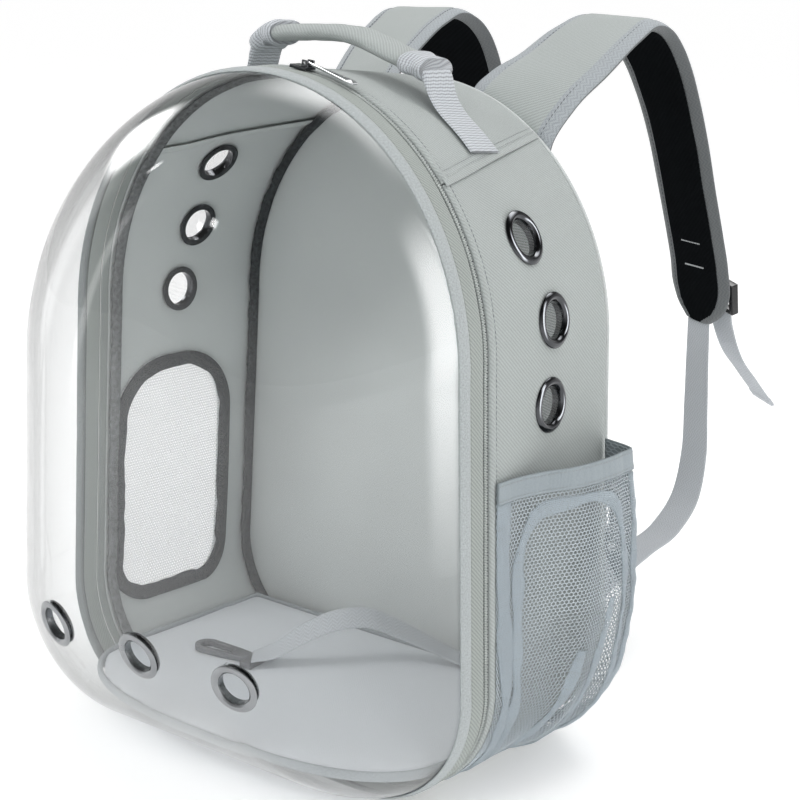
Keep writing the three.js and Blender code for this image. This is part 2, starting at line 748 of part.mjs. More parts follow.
function shareFrom(table, share) {
  const next = table.findIndex((row) => row.at >= share - 1e-9);
  if (next <= 0) {
    return table[0].swell;
  }
  const [low, high] = [table[next - 1], table[next]];
  return lerp(low.swell, high.swell, (share - low.at) / (high.at - low.at));
}

function pocketSwell(along, down) {
  const swell = POCKET_BULGE * shareFrom(SWELL_DOWN, down);
  const pleats = PLEAT_DEPTH * down * (1 - Math.cos(2 * Math.PI * PLEAT_COUNT * along));
  return SEAT + Math.max(swell - pleats, 0) * shareFrom(SWELL_ALONG, along);
}

function pocketPoint(along, down, offset) {
  const y = lerp(POCKET_FRONT, POCKET_BACK, along);
  const top = shareAtHeight(POCKET_TOP, y);
  const foot = shareAtHeight(POCKET_BOTTOM, y);
  return bodyPoint(lerp(top, foot, down), y, pocketSwell(along, down) + offset);
}

function buildPocket() {
  const net = wall(11, 12, (down, along) => pocketPoint(along, down, POCKET_NET),
    (down, along) => pocketPoint(along, down, 0));
  add('pocket_mesh', net, NET);
  const girth = (shareAtHeight(POCKET_TOP) - shareAtHeight(POCKET_BOTTOM)) * OUTLINE_LENGTH;
  const foot = HEM_HEIGHT / girth;
  const hem = wall(1, 12, (row, along) => pocketPoint(along, row * foot, POCKET_NET + GAP + HEM_THICKNESS),
    (row, along) => pocketPoint(along, row * foot, POCKET_NET + GAP));
  add('pocket_hem', hem, WEBBING);
}

// Floor mat: straight sides along the walls and a rounded front that reaches into the dome
function matHalfWidth(y) {
  const share = shareAtHeight(MAT_UNDERSIDE, y);
  return bodyPoint(share, y, -CLOTH).x - SEAT * 2;
}

function matLoop() {
  const right = steps(5).map((share) => {
    const y = lerp(MAT_BACK, MAT_SHOULDER, share);
    return new THREE.Vector2(matHalfWidth(y), y);
  });
  const half = matHalfWidth(MAT_SHOULDER);
  const front = steps(16).slice(1, 16).map((share) => {
    const angle = share * Math.PI;
    const across = Math.sign(Math.cos(angle)) * Math.abs(Math.cos(angle)) ** (2 / MAT_SQUARENESS);
    return new THREE.Vector2(half * across, MAT_SHOULDER - MAT_REACH * Math.sin(angle) ** (2 / MAT_SQUARENESS));
  });
  const left = [...right].reverse().map((at) => new THREE.Vector2(-at.x, at.y));
  return [...right, ...front, ...left];
}

function floorMat() {
  const middle = (MAT_BACK + MAT_SHOULDER) / 2;
  const loop = matLoop();
  const ring = (inset, height, scale = 1) => loop.map((at) => {
    const reach = Math.hypot(at.x, at.y - middle);
    const share = (reach - inset) / reach * scale;
    return new THREE.Vector3(at.x * share, middle + (at.y - middle) * share, height);
  });
  const rings = [
    ring(MAT_EDGE, MAT_UNDERSIDE, 0.5),
    ring(MAT_EDGE, MAT_UNDERSIDE),
    ring(0, MAT_UNDERSIDE + MAT_EDGE),
    ring(0, MAT_TOP - MAT_EDGE),
    ring(MAT_EDGE, MAT_TOP),
    ring(MAT_EDGE, MAT_TOP, 0.5),
  ];
  return skin(rings, [new THREE.Vector3(0, middle, MAT_UNDERSIDE), new THREE.Vector3(0, middle, MAT_TOP)]);
}

// Flat strips: each row has a centre, a width direction, a half width and a half thickness
function ribbon(rows, edge = 0.35) {
  const sections = rows.map((row, index) => {
    const before = rows[Math.max(index - 1, 0)].centre;
    const after = rows[Math.min(index + 1, rows.length - 1)].centre;
    const along = after.clone().sub(before).normalize();
    const thick = along.clone().cross(row.across).normalize();
    const place = (side, height) => row.centre.clone()
      .addScaledVector(row.across, side).addScaledVector(thick, height);
    const { half, deep } = row;
    const rim = Math.min(edge, half / 2);
    return [
      place(-half, deep * 0.35), place(-half + rim, deep), place(half - rim, deep), place(half, deep * 0.35),
      place(half, -deep * 0.35), place(half - rim, -deep), place(-half + rim, -deep), place(-half, -deep * 0.35),
    ];
  });
  return skin(sections, 'ladder');
}

// Leash: the webbing rises from the hook, arches over the mat and runs along it to the back corner. lean
// turns the strip's width from level towards upright, in degrees.
const LEASH_ROUTE = [
  { x: -41, y: -45, z: 38.8, lean: 6 },
  { x: -30, y: -37, z: 43.5, lean: 25 },
  { x: -15, y: -24, z: 56, lean: 44 },
  { x: 1, y: -9, z: 65, lean: 45 },
  { x: 14, y: 5, z: 66, lean: 44 },
  { x: 29, y: 19, z: 58, lean: 36 },
  { x: 45, y: 33, z: 47.5, lean: 22 },
  { x: 60, y: 44, z: 38.5, lean: 10 },
  { x: 80, y: 49, z: 35.2, lean: 0 },
  { x: 126, y: 50, z: 34.8, lean: 0 },
];

function leashWebbing() {
  const rows = LEASH_ROUTE.map((at, index) => {
    const before = LEASH_ROUTE[Math.max(index - 1, 0)];
    const after = LEASH_ROUTE[Math.min(index + 1, LEASH_ROUTE.length - 1)];
    const level = new THREE.Vector3(after.y - before.y, before.x - after.x, 0).normalize();
    const lean = degToRad(at.lean);
    const across = level.multiplyScalar(Math.cos(lean)).setZ(-Math.sin(lean));
    return {
      centre: new THREE.Vector3(at.x, at.y, at.z), across, half: LEASH_WIDTH / 2, deep: LEASH_THICKNESS / 2,
    };
  });
  return ribbon(rows);
}

// Snap hook: an open loop with a cross bar for the webbing, cut from one flat plate
function leashHook() {
  const half = HOOK_WIDTH / 2;
  const waist = half * 0.75;
  const neck = HOOK_LENGTH - HOOK_BAR_WIDTH;
  const shape = new THREE.Shape();
  shape.moveTo(half, -half);
  shape.lineTo(neck - HOOK_NECK_LENGTH, -waist);
  shape.lineTo(neck, -half / 2);
  shape.lineTo(neck, -HOOK_BAR / 2);
  shape.lineTo(HOOK_LENGTH, -HOOK_BAR / 2);
  shape.lineTo(HOOK_LENGTH, HOOK_BAR / 2);
  shape.lineTo(neck, HOOK_BAR / 2);
  shape.lineTo(neck, half / 2);
  shape.lineTo(neck - HOOK_NECK_LENGTH, waist);
  shape.lineTo(half, half);
  shape.absarc(half, 0, half, Math.PI / 2, Math.PI * 1.5, false);
  const eye = new THREE.Path();
  const eyeEnd = neck - HOOK_NECK_LENGTH - HOOK_EYE_CLEARANCE;
  eye.moveTo(half, half - HOOK_END_WALL);
  eye.lineTo(eyeEnd, waist - HOOK_SIDE_WALL);
  eye.lineTo(eyeEnd, HOOK_SIDE_WALL - waist);
  eye.lineTo(half, HOOK_END_WALL - half);
  eye.absarc(half, 0, half - HOOK_END_WALL, Math.PI * 1.5, Math.PI / 2, true);
  shape.holes.push(eye);
  const hook = new THREE.ExtrudeGeometry(shape, { depth: HOOK_THICKNESS, bevelEnabled: false, curveSegments: 8 });
  hook.rotateZ(degToRad(HOOK_PLACE.turnDeg));
  return hook.translate(HOOK_PLACE.x, HOOK_PLACE.y, MAT_TOP + GAP);
}

function buildFloor() {
  add('floor_mat', floorMat(), MAT);
  add('leash_webbing', leashWebbing(), WEBBING);
  add('leash_hook', leashHook(), PLASTIC);
}

// Carry handle. Grip rows: place as a share of half its length, drop of its top as a share of the sag.
const GRIP_ROWS = [
  { across: -1, sag: 0.42, full: 0.6 },
  { across: -0.93, sag: 0.22, full: 1 },
  { across: -0.7, sag: 0.08, full: 1 },
  { across: -0.4, sag: 0.02, full: 1 },
  { across: -0.1, sag: 0, full: 1 },
  { across: 0.12, sag: 0.06, full: 1 },
  { across: 0.35, sag: 0.28, full: 1 },
  { across: 0.6, sag: 0.58, full: 1 },
  { across: 0.82, sag: 0.82, full: 1 },
  { across: 0.95, sag: 0.93, full: 0.95 },
  { across: 1, sag: 1, full: 0.6 },
];

// Handle webbing rows: distance beyond the grip's end as a share of the foot's reach, lift from the arch
// towards the grip as a share, and thickness in layers of webbing.
const HANDLE_ROWS = [
  { out: 0.63, lift: 0, layers: 1 },
  { out: 0.48, lift: 0, layers: 1 },
  { out: 0.36, lift: 0, layers: 1 },
  { out: 0.25, lift: 0.02, layers: 1 },
  { out: 0.16, lift: 0.12, layers: 1 },
  { out: 0.1, lift: 0.32, layers: 1 },
  { out: 0.06, lift: 0.58, layers: 1.6 },
  { out: 0.02, lift: 0.86, layers: 2.4 },
];

function topAt(x, y) {
  const { share, wide, tall } = taper(y);
  const height = archHeight(Math.abs(x) / wide);
  const around = shareAtHeight(height);
  return height * tall - dentDepth(x < 0 ? 1 - around : around, share);
}

function handleWebbing(side) {
  const end = GRIP_ROWS[side < 0 ? 0 : GRIP_ROWS.length - 1];
  const gripHeight = GRIP_TOP - GRIP_SAG * end.sag - GRIP_THICKNESS / 2;
  const rows = HANDLE_ROWS.map((row) => {
    const x = GRIP_LENGTH / 2 + GAP + row.out * HANDLE_FOOT_REACH;
    const front = topAt(side * x, HANDLE_MIDDLE - HANDLE_WEBBING_WIDTH / 2);
    const back = topAt(side * x, HANDLE_MIDDLE + HANDLE_WEBBING_WIDTH / 2);
    const ground = (front + back) / 2 + SEAT + HANDLE_WEBBING_THICKNESS;
    return {
      centre: new THREE.Vector3(side * x, HANDLE_MIDDLE, lerp(ground, gripHeight, row.lift)),
      across: new THREE.Vector3(0, HANDLE_WEBBING_WIDTH, (back - front) * (1 - row.lift)).normalize(),
      half: HANDLE_WEBBING_WIDTH / 2,
      deep: HANDLE_WEBBING_THICKNESS * row.layers / 2,
    };
  });
  return ribbon(rows);
}

function handleGrip() {
  const rows = GRIP_ROWS.map((row) => ({
    centre: new THREE.Vector3(
      row.across * GRIP_LENGTH / 2,
      HANDLE_MIDDLE,
      GRIP_TOP - GRIP_THICKNESS / 2 - GRIP_SAG * row.sag,
    ),
    across: new THREE.Vector3(0, 1, 0),
    half: GRIP_WIDTH / 2,
    deep: GRIP_THICKNESS / 2 * row.full,
  }));
  return ribbon(rows, GRIP_THICKNESS * 0.45);
}

function buildHandle() {
  add('handle_grip', handleGrip(), FABRIC);
  add('handle_webbing_left', handleWebbing(-1), WEBBING);
  add('handle_webbing_right', handleWebbing(1), WEBBING);
}

// Shoulder straps. out: share of the reach behind the back; rise: share of the crest above the root;
// fall: share of the drop below the crest; side: share of the flare; wide: share of the strap width;
// slant and turn: degrees that the width leans down and swings forward.
const STRAP_ROWS = [
  { out: 0, rise: -0.3, fall: 0, side: 0, wide: 1, slant: 24, turn: 0 },
  { out: 0.01, rise: 0.02, fall: 0, side: 0, wide: 1, slant: 24, turn: 0 },
  { out: 0.08, rise: 0.32, fall: 0, side: 0.16, wide: 1, slant: 15, turn: 0 },
  { out: 0.184, rise: 0.56, fall: 0, side: 0.36, wide: 1, slant: 8, turn: 0 },
  { out: 0.337, rise: 0.88, fall: 0, side: 0.5, wide: 1, slant: 4, turn: 3 },
  { out: 0.43, rise: 1, fall: 0, side: 0.56, wide: 1, slant: 2, turn: 7 },
  { out: 0.52, rise: 1, fall: 0.02, side: 0.62, wide: 1, slant: 0, turn: 12 },
  { out: 0.584, rise: 1, fall: 0.065, side: 0.68, wide: 1, slant: 0, turn: 16 },
  { out: 0.64, rise: 1, fall: 0.13, side: 0.74, wide: 1, slant: 0, turn: 19 },
  { out: 0.7, rise: 1, fall: 0.235, side: 0.82, wide: 1, slant: 0, turn: 22 },
  { out: 0.76, rise: 1, fall: 0.37, side: 0.9, wide: 1, slant: 0, turn: 24 },
  { out: 0.82, rise: 1, fall: 0.53, side: 0.96, wide: 1, slant: 0, turn: 25 },
  { out: 0.88, rise: 1, fall: 0.68, side: 1, wide: 1, slant: 0, turn: 25 },
  { out: 0.931, rise: 1, fall: 0.8, side: 1, wide: 1, slant: 0, turn: 25 },
  { out: 0.965, rise: 1, fall: 0.9, side: 0.97, wide: 0.95, slant: 2, turn: 24 },
  { out: 0.988, rise: 1, fall: 0.965, side: 0.9, wide: 0.72, slant: 4, turn: 24 },
  { out: 1, rise: 1, fall: 1, side: 0.84, wide: 0.42, slant: 6, turn: 24 },
];

const STRAP_START = BACK_FACE + GAP + STRAP_THICKNESS / 2;

function strapRow(row, side) {
  const slant = degToRad(row.slant);
  const turn = degToRad(row.turn);
  const x = STRAP_ROOT_SPACING / 2 + row.side * STRAP_FLARE;
  const z = STRAP_ROOT_HEIGHT + row.rise * STRAP_CREST - row.fall * STRAP_DROP;
  const across = new THREE.Vector3(side * Math.cos(slant) * Math.cos(turn), -Math.sin(turn), -Math.sin(slant));
  return {
    centre: new THREE.Vector3(side * x, STRAP_START + row.out * STRAP_REACH, z),
    across: across.normalize(),
    half: STRAP_WIDTH * row.wide / 2,
    deep: STRAP_THICKNESS / 2,
  };
}

function strapTip(side) {
  return strapRow(STRAP_ROWS[STRAP_ROWS.length - 1], side).centre;
}

// Lower webbing from the strap's tip to the back panel's lower corner. run: share of the way from the tip
// to the back; fall: share of the drop from the tip to the anchor; side: share of the way outwards.
const WEBBING_ROWS = [
  { run: 0, fall: 0, side: 0 },
  { run: 0.02, fall: 0.18, side: 0.08 },
  { run: 0.05, fall: 0.4, side: 0.2 },
  { run: 0.09, fall: 0.62, side: 0.34 },
  { run: 0.17, fall: 0.79, side: 0.46 },
  { run: 0.32, fall: 0.89, side: 0.56 },
  { run: 0.55, fall: 0.91, side: 0.7 },
  { run: 0.8, fall: 0.94, side: 0.86 },
  { run: 1, fall: 1, side: 1 },
];

function strapWebbing(side) {
  const rows = STRAP_ROWS.slice(-2).map((row) => strapRow(row, side).centre);
  const onward = rows[1].clone().sub(rows[0]).normalize();
  const tip = rows[1].clone().addScaledVector(onward, SEAT * 3);
  const anchorX = side * (BACK_WIDTH / 2 - WEBBING_ANCHOR_INSET - WEBBING_WIDTH / 2);
  const strip = WEBBING_ROWS.map((row) => {
    const turn = degToRad(lerp(24, 0, row.side));
    return {
      centre: new THREE.Vector3(
        lerp(tip.x, anchorX, row.side),
        lerp(tip.y, BACK_FACE + GAP, row.run),
        lerp(tip.z, WEBBING_ANCHOR_HEIGHT, row.fall),
      ),
      across: new THREE.Vector3(side * Math.cos(turn), -Math.sin(turn), 0),
      half: WEBBING_WIDTH / 2,
      deep: WEBBING_THICKNESS / 2,
    };
  });
  return ribbon(strip);
}

// Ladder-lock buckle on the outer face of the strap near its tip
function buckleFrame(side) {
  const [above, here, below] = STRAP_ROWS.slice(-4, -1).map((row) => strapRow(row, side));
  const along = below.centre.clone().sub(above.centre).normalize();
  const out = here.across.clone().cross(along).normalize();
  if (out.y < 0) {
    out.negate();
  }
  const sideways = out.clone().cross(along).normalize();
  const lift = STRAP_THICKNESS / 2 + SEAT + BUCKLE_THICKNESS / 2;
  const centre = here.centre.clone().addScaledVector(out, lift).addScaledVector(here.across, BUCKLE_SHIFT);
  return new THREE.Matrix4().makeBasis(sideways, out, sideways.clone().cross(out)).setPosition(centre);
}

function buckle(side) {
  const frame = new THREE.BoxGeometry(BUCKLE_WIDTH, BUCKLE_THICKNESS, BUCKLE_LENGTH);
  const slots = [-1, 1].map((row) => {
    const slot = new THREE.BoxGeometry(WEBBING_WIDTH + 1, BUCKLE_THICKNESS * 2, BUCKLE_LENGTH / 2 - 5);
    return slot.translate(0, 0, row * (BUCKLE_LENGTH / 4 - 0.5));
  });
  return cut(frame, slots).applyMatrix4(buckleFrame(side));
}

// Loose end below the buckle: it leaves the buckle straight, then hangs back and down
const TAIL_LEAD = 4;
const TAIL_ROWS = [
  { run: 0.1, fall: 0.22 },
  { run: 0.27, fall: 0.44 },
  { run: 0.6, fall: 0.7 },
  { run: 1, fall: 1 },
];

function strapTail(side) {
  const frame = buckleFrame(side);
  const down = new THREE.Vector3().setFromMatrixColumn(frame, 2);
  down.multiplyScalar(-Math.sign(down.z));
  const across = new THREE.Vector3().setFromMatrixColumn(frame, 0);
  const middle = new THREE.Vector3().setFromMatrixPosition(frame);
  const start = middle.addScaledVector(down, BUCKLE_LENGTH / 2 + GAP);
  const hanging = TAIL_ROWS.map((row) => (
    new THREE.Vector3(start.x, start.y + row.run * TAIL_RUN, start.z - row.fall * TAIL_DROP)));
  const centres = [start, start.clone().addScaledVector(down, TAIL_LEAD), ...hanging];
  return ribbon(centres.map((centre) => (
    { centre, across, half: WEBBING_WIDTH / 2, deep: WEBBING_THICKNESS / 2 })));
}

function buildStrap(name, side) {
  const rows = STRAP_ROWS.map((row) => strapRow(row, side));
  add(`shoulder_strap_${name}`, ribbon(rows, STRAP_EDGE), STRAP);
  add(`strap_webbing_${name}`, strapWebbing(side), WEBBING);
  add(`strap_buckle_${name}`, buckle(side), BLACK_PLASTIC);
  add(`strap_tail_${name}`, strapTail(side), WEBBING);
}

buildDome();
buildDoorEdge();
buildSlider();
buildGusset();
buildBack();
buildWindow();
buildPocket();
buildFloor();
buildHandle();
buildStrap('left', -1);
buildStrap('right', 1);

export default backpack;
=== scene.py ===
"""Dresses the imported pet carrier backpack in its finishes, and sets its studio."""

import logging
import math
from dataclasses import dataclass, field
from enum import Enum
from typing import Any, Callable, Iterable, Sequence

import bmesh
import bpy
import numpy as np
from mathutils import Matrix, Vector


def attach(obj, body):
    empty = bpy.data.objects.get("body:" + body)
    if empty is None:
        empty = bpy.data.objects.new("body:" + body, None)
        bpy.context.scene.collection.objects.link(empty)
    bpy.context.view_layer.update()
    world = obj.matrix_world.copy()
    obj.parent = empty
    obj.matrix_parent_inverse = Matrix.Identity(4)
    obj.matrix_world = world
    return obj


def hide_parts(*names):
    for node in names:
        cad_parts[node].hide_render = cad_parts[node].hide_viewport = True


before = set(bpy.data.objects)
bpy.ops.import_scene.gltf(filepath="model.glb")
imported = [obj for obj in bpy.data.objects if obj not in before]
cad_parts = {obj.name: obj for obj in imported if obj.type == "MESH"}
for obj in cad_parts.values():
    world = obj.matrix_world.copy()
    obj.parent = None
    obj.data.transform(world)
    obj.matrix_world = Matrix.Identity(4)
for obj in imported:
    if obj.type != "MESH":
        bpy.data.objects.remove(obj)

LOG = logging.getLogger("carrier")
MM = 0.001
Array = np.ndarray
Colour = tuple[float, float, float]
FLOAT = "NodeSocketFloat"
VECTOR = "NodeSocketVector"
GEOMETRY = "NodeSocketGeometry"
ZIPPER_WIDTH = 5.6


# Shapes in millimetres


def spline(knots: Sequence[float], values: Array, at: Array) -> Array:
    """Smooth curve through a table.

    Args:
        knots: Rising positions of the table's rows.
        values: One row of values for each knot.
        at: Positions to read.

    Returns:
        The values at those positions, one row each.
    """
    x = np.asarray(knots, float)
    y = np.asarray(values, float)
    y = y.reshape(len(x), -1)
    slope = np.gradient(y, x, axis=0)
    at = np.clip(np.asarray(at, float), x[0], x[-1])
    cell = np.clip(np.searchsorted(x, at, side="right") - 1, 0, len(x) - 2)
    span = (x[cell + 1] - x[cell])[:, None]
    t = (at[:, None] - x[cell][:, None]) / span
    low, high = y[cell], y[cell + 1]
    return ((2 * t**3 - 3 * t**2 + 1) * low + (t**3 - 2 * t**2 + t) * span * slope[cell]
            + (3 * t**2 - 2 * t**3) * high + (t**3 - t**2) * span * slope[cell + 1])


def ripple(u: Array, v: Array, size: float, seed: int) -> Array:
    """Gentle unevenness between about -1 and 1 over a surface.

    Args:
        u: First surface coordinate.
        v: Second surface coordinate.
        size: Typical width of a bump, in the same unit.
        seed: Which pattern.

    Returns:
        The height at each place.
    """
    draw = np.random.default_rng(seed)
    total = np.zeros(np.broadcast(u, v).shape)
    turns, phases, paces = (draw.uniform(low, high, 7) for low,
                            high in ((0, math.pi), (0, math.tau), (0.7, 1.6)))
    for turn, phase, pace in zip(turns, phases, paces):
        total += np.sin((u * math.cos(turn) + v * math.sin(turn)) * math.pi * pace / size + phase)
    return total / 4


def unit(vectors: Array) -> Array:
    """Vectors of length one in the same directions."""
    return vectors / np.maximum(np.linalg.norm(vectors, axis=-1, keepdims=True), 1e-12)


def run_of(points: Array) -> Array:
    """Length along a path to each of its points."""
    return np.r_[0, np.cumsum(np.linalg.norm(np.diff(points, axis=0), axis=1))]


@dataclass(frozen=True)
class Dent:
    """A shallow hollow in a soft panel: middle and spread as shares of outline and depth."""

    around: float
    along: float
    wide: float
    deep: float
    depth: float


@dataclass
class BodyForm:
    """The body's outline and how it narrows from the zipper to the back."""

    width: float = 320.0
    arch_width: float = 303.0
    height: float = 420.0
    arch_rise: float = 159.0
    corner: float = 76.0
    back_width: float = 308.0
    back_height: float = 410.0
    depth: float = 135.0
    cloth: float = 2.0
    gap: float = 0.3
    seat: float = 0.6
    dents: tuple[Dent, ...] = (
        Dent(0.388, 0.22, 0.022, 0.16, 3.0),
        Dent(0.392, 0.8, 0.02, 0.13, 2.0),
        Dent(0.2, 0.8, 0.05, 0.14, 2.0),
        Dent(0.612, 0.22, 0.022, 0.16, 2.6),
        Dent(0.8, 0.87, 0.04, 0.1, 1.6),
    )
    table: Array = field(init=False)
    length: float = field(init=False)

    def __post_init__(self) -> None:
        """Measures the outline by length."""
        half, flat, spring = self.width / 2, self.width / 2 - self.corner, self.height - self.arch_rise

        def arc(x: float, z: float, wide: float, tall: float, start: float, end: float) -> Array:
            """Points of an elliptic arc."""
            turn = np.radians(np.linspace(start, end, 900))
            return np.column_stack([x + wide * np.cos(turn), z + tall * np.sin(turn)])

        points = np.vstack([
            [[0, 0], [flat, 0]],
            arc(flat, self.corner, self.corner, self.corner, -90, 0),
            arc(0, spring, self.arch_width / 2, self.arch_rise, 0, 180),
            [[-half, self.corner]],
            arc(-flat, self.corner, self.corner, self.corner, 180, 270),
            [[0, 0]],
        ])
        points = points[np.r_[True, np.linalg.norm(np.diff(points, axis=0), axis=1) > 1e-9]]
        run = run_of(points)
        self.length = float(run[-1])
        self.table = np.column_stack([run / self.length, points])

    @property
    def front(self) -> float:
        """Where the zipper lies along the depth."""
        return -self.depth / 2

    @property
    def back(self) -> float:
        """Where the back seam lies along the depth."""
        return self.depth / 2

    @property
    def base_share(self) -> float:
        """Outline share where the base ends."""
        return (self.width / 2 - self.corner) / self.length

    def outline(self, around: Array) -> tuple[Array, Array, Array, Array]:
        """Point and outward direction of the outline at these shares."""
        def at(share: Array) -> Array:
            """The outline's point."""
            share = np.mod(share, 1.0)
            return np.stack([np.interp(share, self.table[:, 0], self.table[:, c]) for c in (1, 2)], -1)

        around = np.asarray(around, float)
        point = at(around)
        along = unit(at(around + 6e-4) - at(around - 6e-4))
        return point[..., 0], point[..., 1], along[..., 1], -along[..., 0]

    def taper(self, y: Array) -> tuple[Array, Array, Array]:
        """Share of the depth, and the width's and height's scale there."""
        share = np.clip((np.asarray(y, float) - self.front) / self.depth, 0, 1)
        wide = 1 + (self.back_width / self.width - 1) * share
        return share, wide, 1 + (self.back_height / self.height - 1) * share

    def dent(self, around: Array, along: Array) -> Array:
        """How deep the soft panels are pushed in."""
        total = np.zeros(np.broadcast(around, along).shape)
        for dent in self.dents:
            total += dent.depth * np.exp(-((around - dent.around) / dent.wide) ** 2
                                         - ((along - dent.along) / dent.deep) ** 2)
        return total * np.sin(math.pi * np.clip(along, 0, 1)) ** 0.5

    def point(self, around: Array, y: Array, offset: Array = 0.0) -> Array:
        """Surface points of the body.

        Args:
            around: Outline shares, 0 at the base's middle and rising to the right.
            y: Depths.
            offset: Distance outwards from the cloth's outer face.

        Returns:
            Points, one for each place.
        """
        around, y, offset = np.broadcast_arrays(*(np.asarray(a, float) for a in (around, y, offset)))
        x, z, out_x, out_z = self.outline(around)
        share, wide, tall = self.taper(y)
        lift = offset - np.where(share > 0, self.dent(around, share), 0)
        return np.stack([x * wide + out_x * lift, y, z * tall + out_z * lift], -1)

    def share_at(self, height: Array, y: Array) -> Array:
        """Right-hand outline share at this height, on the section at y."""
        side = (self.table[:, 0] >= self.base_share) & (self.table[:, 0] <= 0.5)
        return np.interp(np.asarray(height) / self.taper(y)[2], self.table[side, 2], self.table[side, 0])

    def arch_height(self, half_width: Array) -> Array:
        """Height of the arch at this distance from the middle."""
        share = np.clip(np.asarray(half_width) / (self.arch_width / 2), -1, 1)
        return self.height - self.arch_rise + self.arch_rise * np.sqrt(1 - share**2)

    def top_at(self, x: float, y: float) -> float:
        """Height of the top panel's outer face."""
        share, wide, tall = self.taper(y)
        height = self.arch_height(abs(x) / wide)
        around = self.share_at(height, self.front)
        return float(height * tall - self.dent(1 - around if x < 0 else around, share))

    def side_frame(self, around: float, y: float) -> Matrix:
        """A frame on the surface whose Z axis points outwards."""
        here = self.point(around, y)
        sideways = self.point(around + 1e-3, y) - self.point(around - 1e-3, y)
        onward = self.point(around, y + 1.5) - self.point(around, y - 1.5)
        return seat_frame(here, -np.cross(sideways, onward), onward)


def seat_frame(here: Array, normal: Array, along: Array) -> Matrix:
    """A frame at a point: Z along the normal and X as near as can be to along."""
    z = unit(np.asarray(normal, float))
    x = unit(np.asarray(along, float) - np.dot(along, z) * z)
    y = np.cross(z, x)
    return Matrix([[*row, p] for row, p in zip(np.column_stack([x, y, z]), here)] + [[0, 0, 0, 1]])


def placed(points: Array, place: Matrix) -> Array:
    """Points moved from a frame's own space to the bag's."""
    return np.asarray(points) @ np.array(place.to_3x3()).T + np.array(place.translation)


@dataclass
class DomeForm:
    """The clear dome: the outline shrinks about a centre line as the depth grows."""

    body: BodyForm
    reach: float = 126.0
    wall: float = 1.5
    centre: float = 200.0
    flatness: float = 1.92
    fullness: float = 3.125
    rim: float = 15.4

    def scale(self, depth: Array) -> Array:
        """Share of the outline's size at this depth from the zipper."""
        return (1 - (np.clip(depth, 0, self.reach) / self.reach) ** self.flatness) ** (1 / self.fullness)

    def depth(self, scale: Array) -> Array:
        """Depth at which the outline has this share of its size."""
        return self.reach * (1 - scale**self.fullness) ** (1 / self.flatness)

    def skin(self, around: Array, depth: Array) -> Array:
        """Outer surface points."""
        around, depth = np.broadcast_arrays(np.asarray(around, float), np.asarray(depth, float))
        x, z, _, _ = self.body.outline(around)
        scale = self.scale(depth)
        return np.stack([x * scale, self.body.front - depth, self.centre + (z - self.centre) * scale], -1)

    def normal(self, around: Array, depth: Array) -> Array:
        """Outward directions."""
        sideways = self.skin(around + 6e-4, depth) - self.skin(around - 6e-4, depth)
        onward = self.skin(around, depth + 0.05) - self.skin(around, depth - 0.05)
        return unit(np.cross(sideways, onward))

    def point(self, around: Array, depth: Array, offset: Array = 0.0) -> Array:
        """Points at a distance outwards from the outer surface."""
        away = self.normal(around, depth) * np.asarray(offset, float)[..., None]
        return self.skin(around, depth) + away

    def frame_at(self, x: float, height: float) -> Matrix:
        """Frame of the surface at a place on the dome's front."""
        fall = self.centre - height
        wanted = math.atan2(abs(x), fall)
        shares = self.body.table[self.body.table[:, 0] <= 0.5]
        turn = np.arctan2(shares[:, 1], self.centre - shares[:, 2])
        around = float(np.interp(wanted, turn, shares[:, 0]))
        rim_x, rim_z, _, _ = self.body.outline(around)
        scale = math.hypot(x, fall) / math.hypot(rim_x, self.centre - rim_z)
        around = 1 - around if x < 0 else around
        depth = self.depth(scale)
        return seat_frame(self.skin(around, depth), self.normal(around, depth), np.array([1.0, 0, 0]))


BODY = BodyForm()
DOME = DomeForm(BODY)


# Meshes


class Cap(Enum):
    """How the ends of a lofted skin are closed."""

    LADDER = "ladder"
    LOOP = "loop"
    POLES = "poles"


def mesh_object(name: str, points: Array, faces: list, uvs: list | None = None, edges: Sequence = ()) -> Any:
    """A smooth mesh object in metres.

    Args:
        name: Name of the piece.
        points: Points in millimetres.
        faces: Point numbers of each face.
        uvs: One pair in metres for each face corner.
        edges: Point numbers of loose edges.

    Returns:
        The new object, linked to the scene.
    """
    mesh = bpy.data.meshes.new(name)
    mesh.from_pydata((np.asarray(points) * MM).tolist(), list(edges), faces)
    if uvs is not None:
        layer = mesh.uv_layers.new(name="Cloth")
        layer.data.foreach_set("uv", np.asarray(uvs, np.float32).ravel())
    if faces:
        mesh.polygons.foreach_set("use_smooth", [True] * len(mesh.polygons))
        face_outwards(mesh)
    mesh.update()
    piece = bpy.data.objects.new(name, mesh)
    bpy.context.scene.collection.objects.link(piece)
    return piece


def face_outwards(mesh: bpy.types.Mesh) -> None:
    """Points a closed mesh's faces outwards."""
    work = bmesh.new()
    work.from_mesh(mesh)
    bmesh.ops.recalc_face_normals(work, faces=work.faces)
    if work.calc_volume(signed=True) < 0:
        bmesh.ops.reverse_faces(work, faces=work.faces)
    work.to_mesh(mesh)
    work.free()


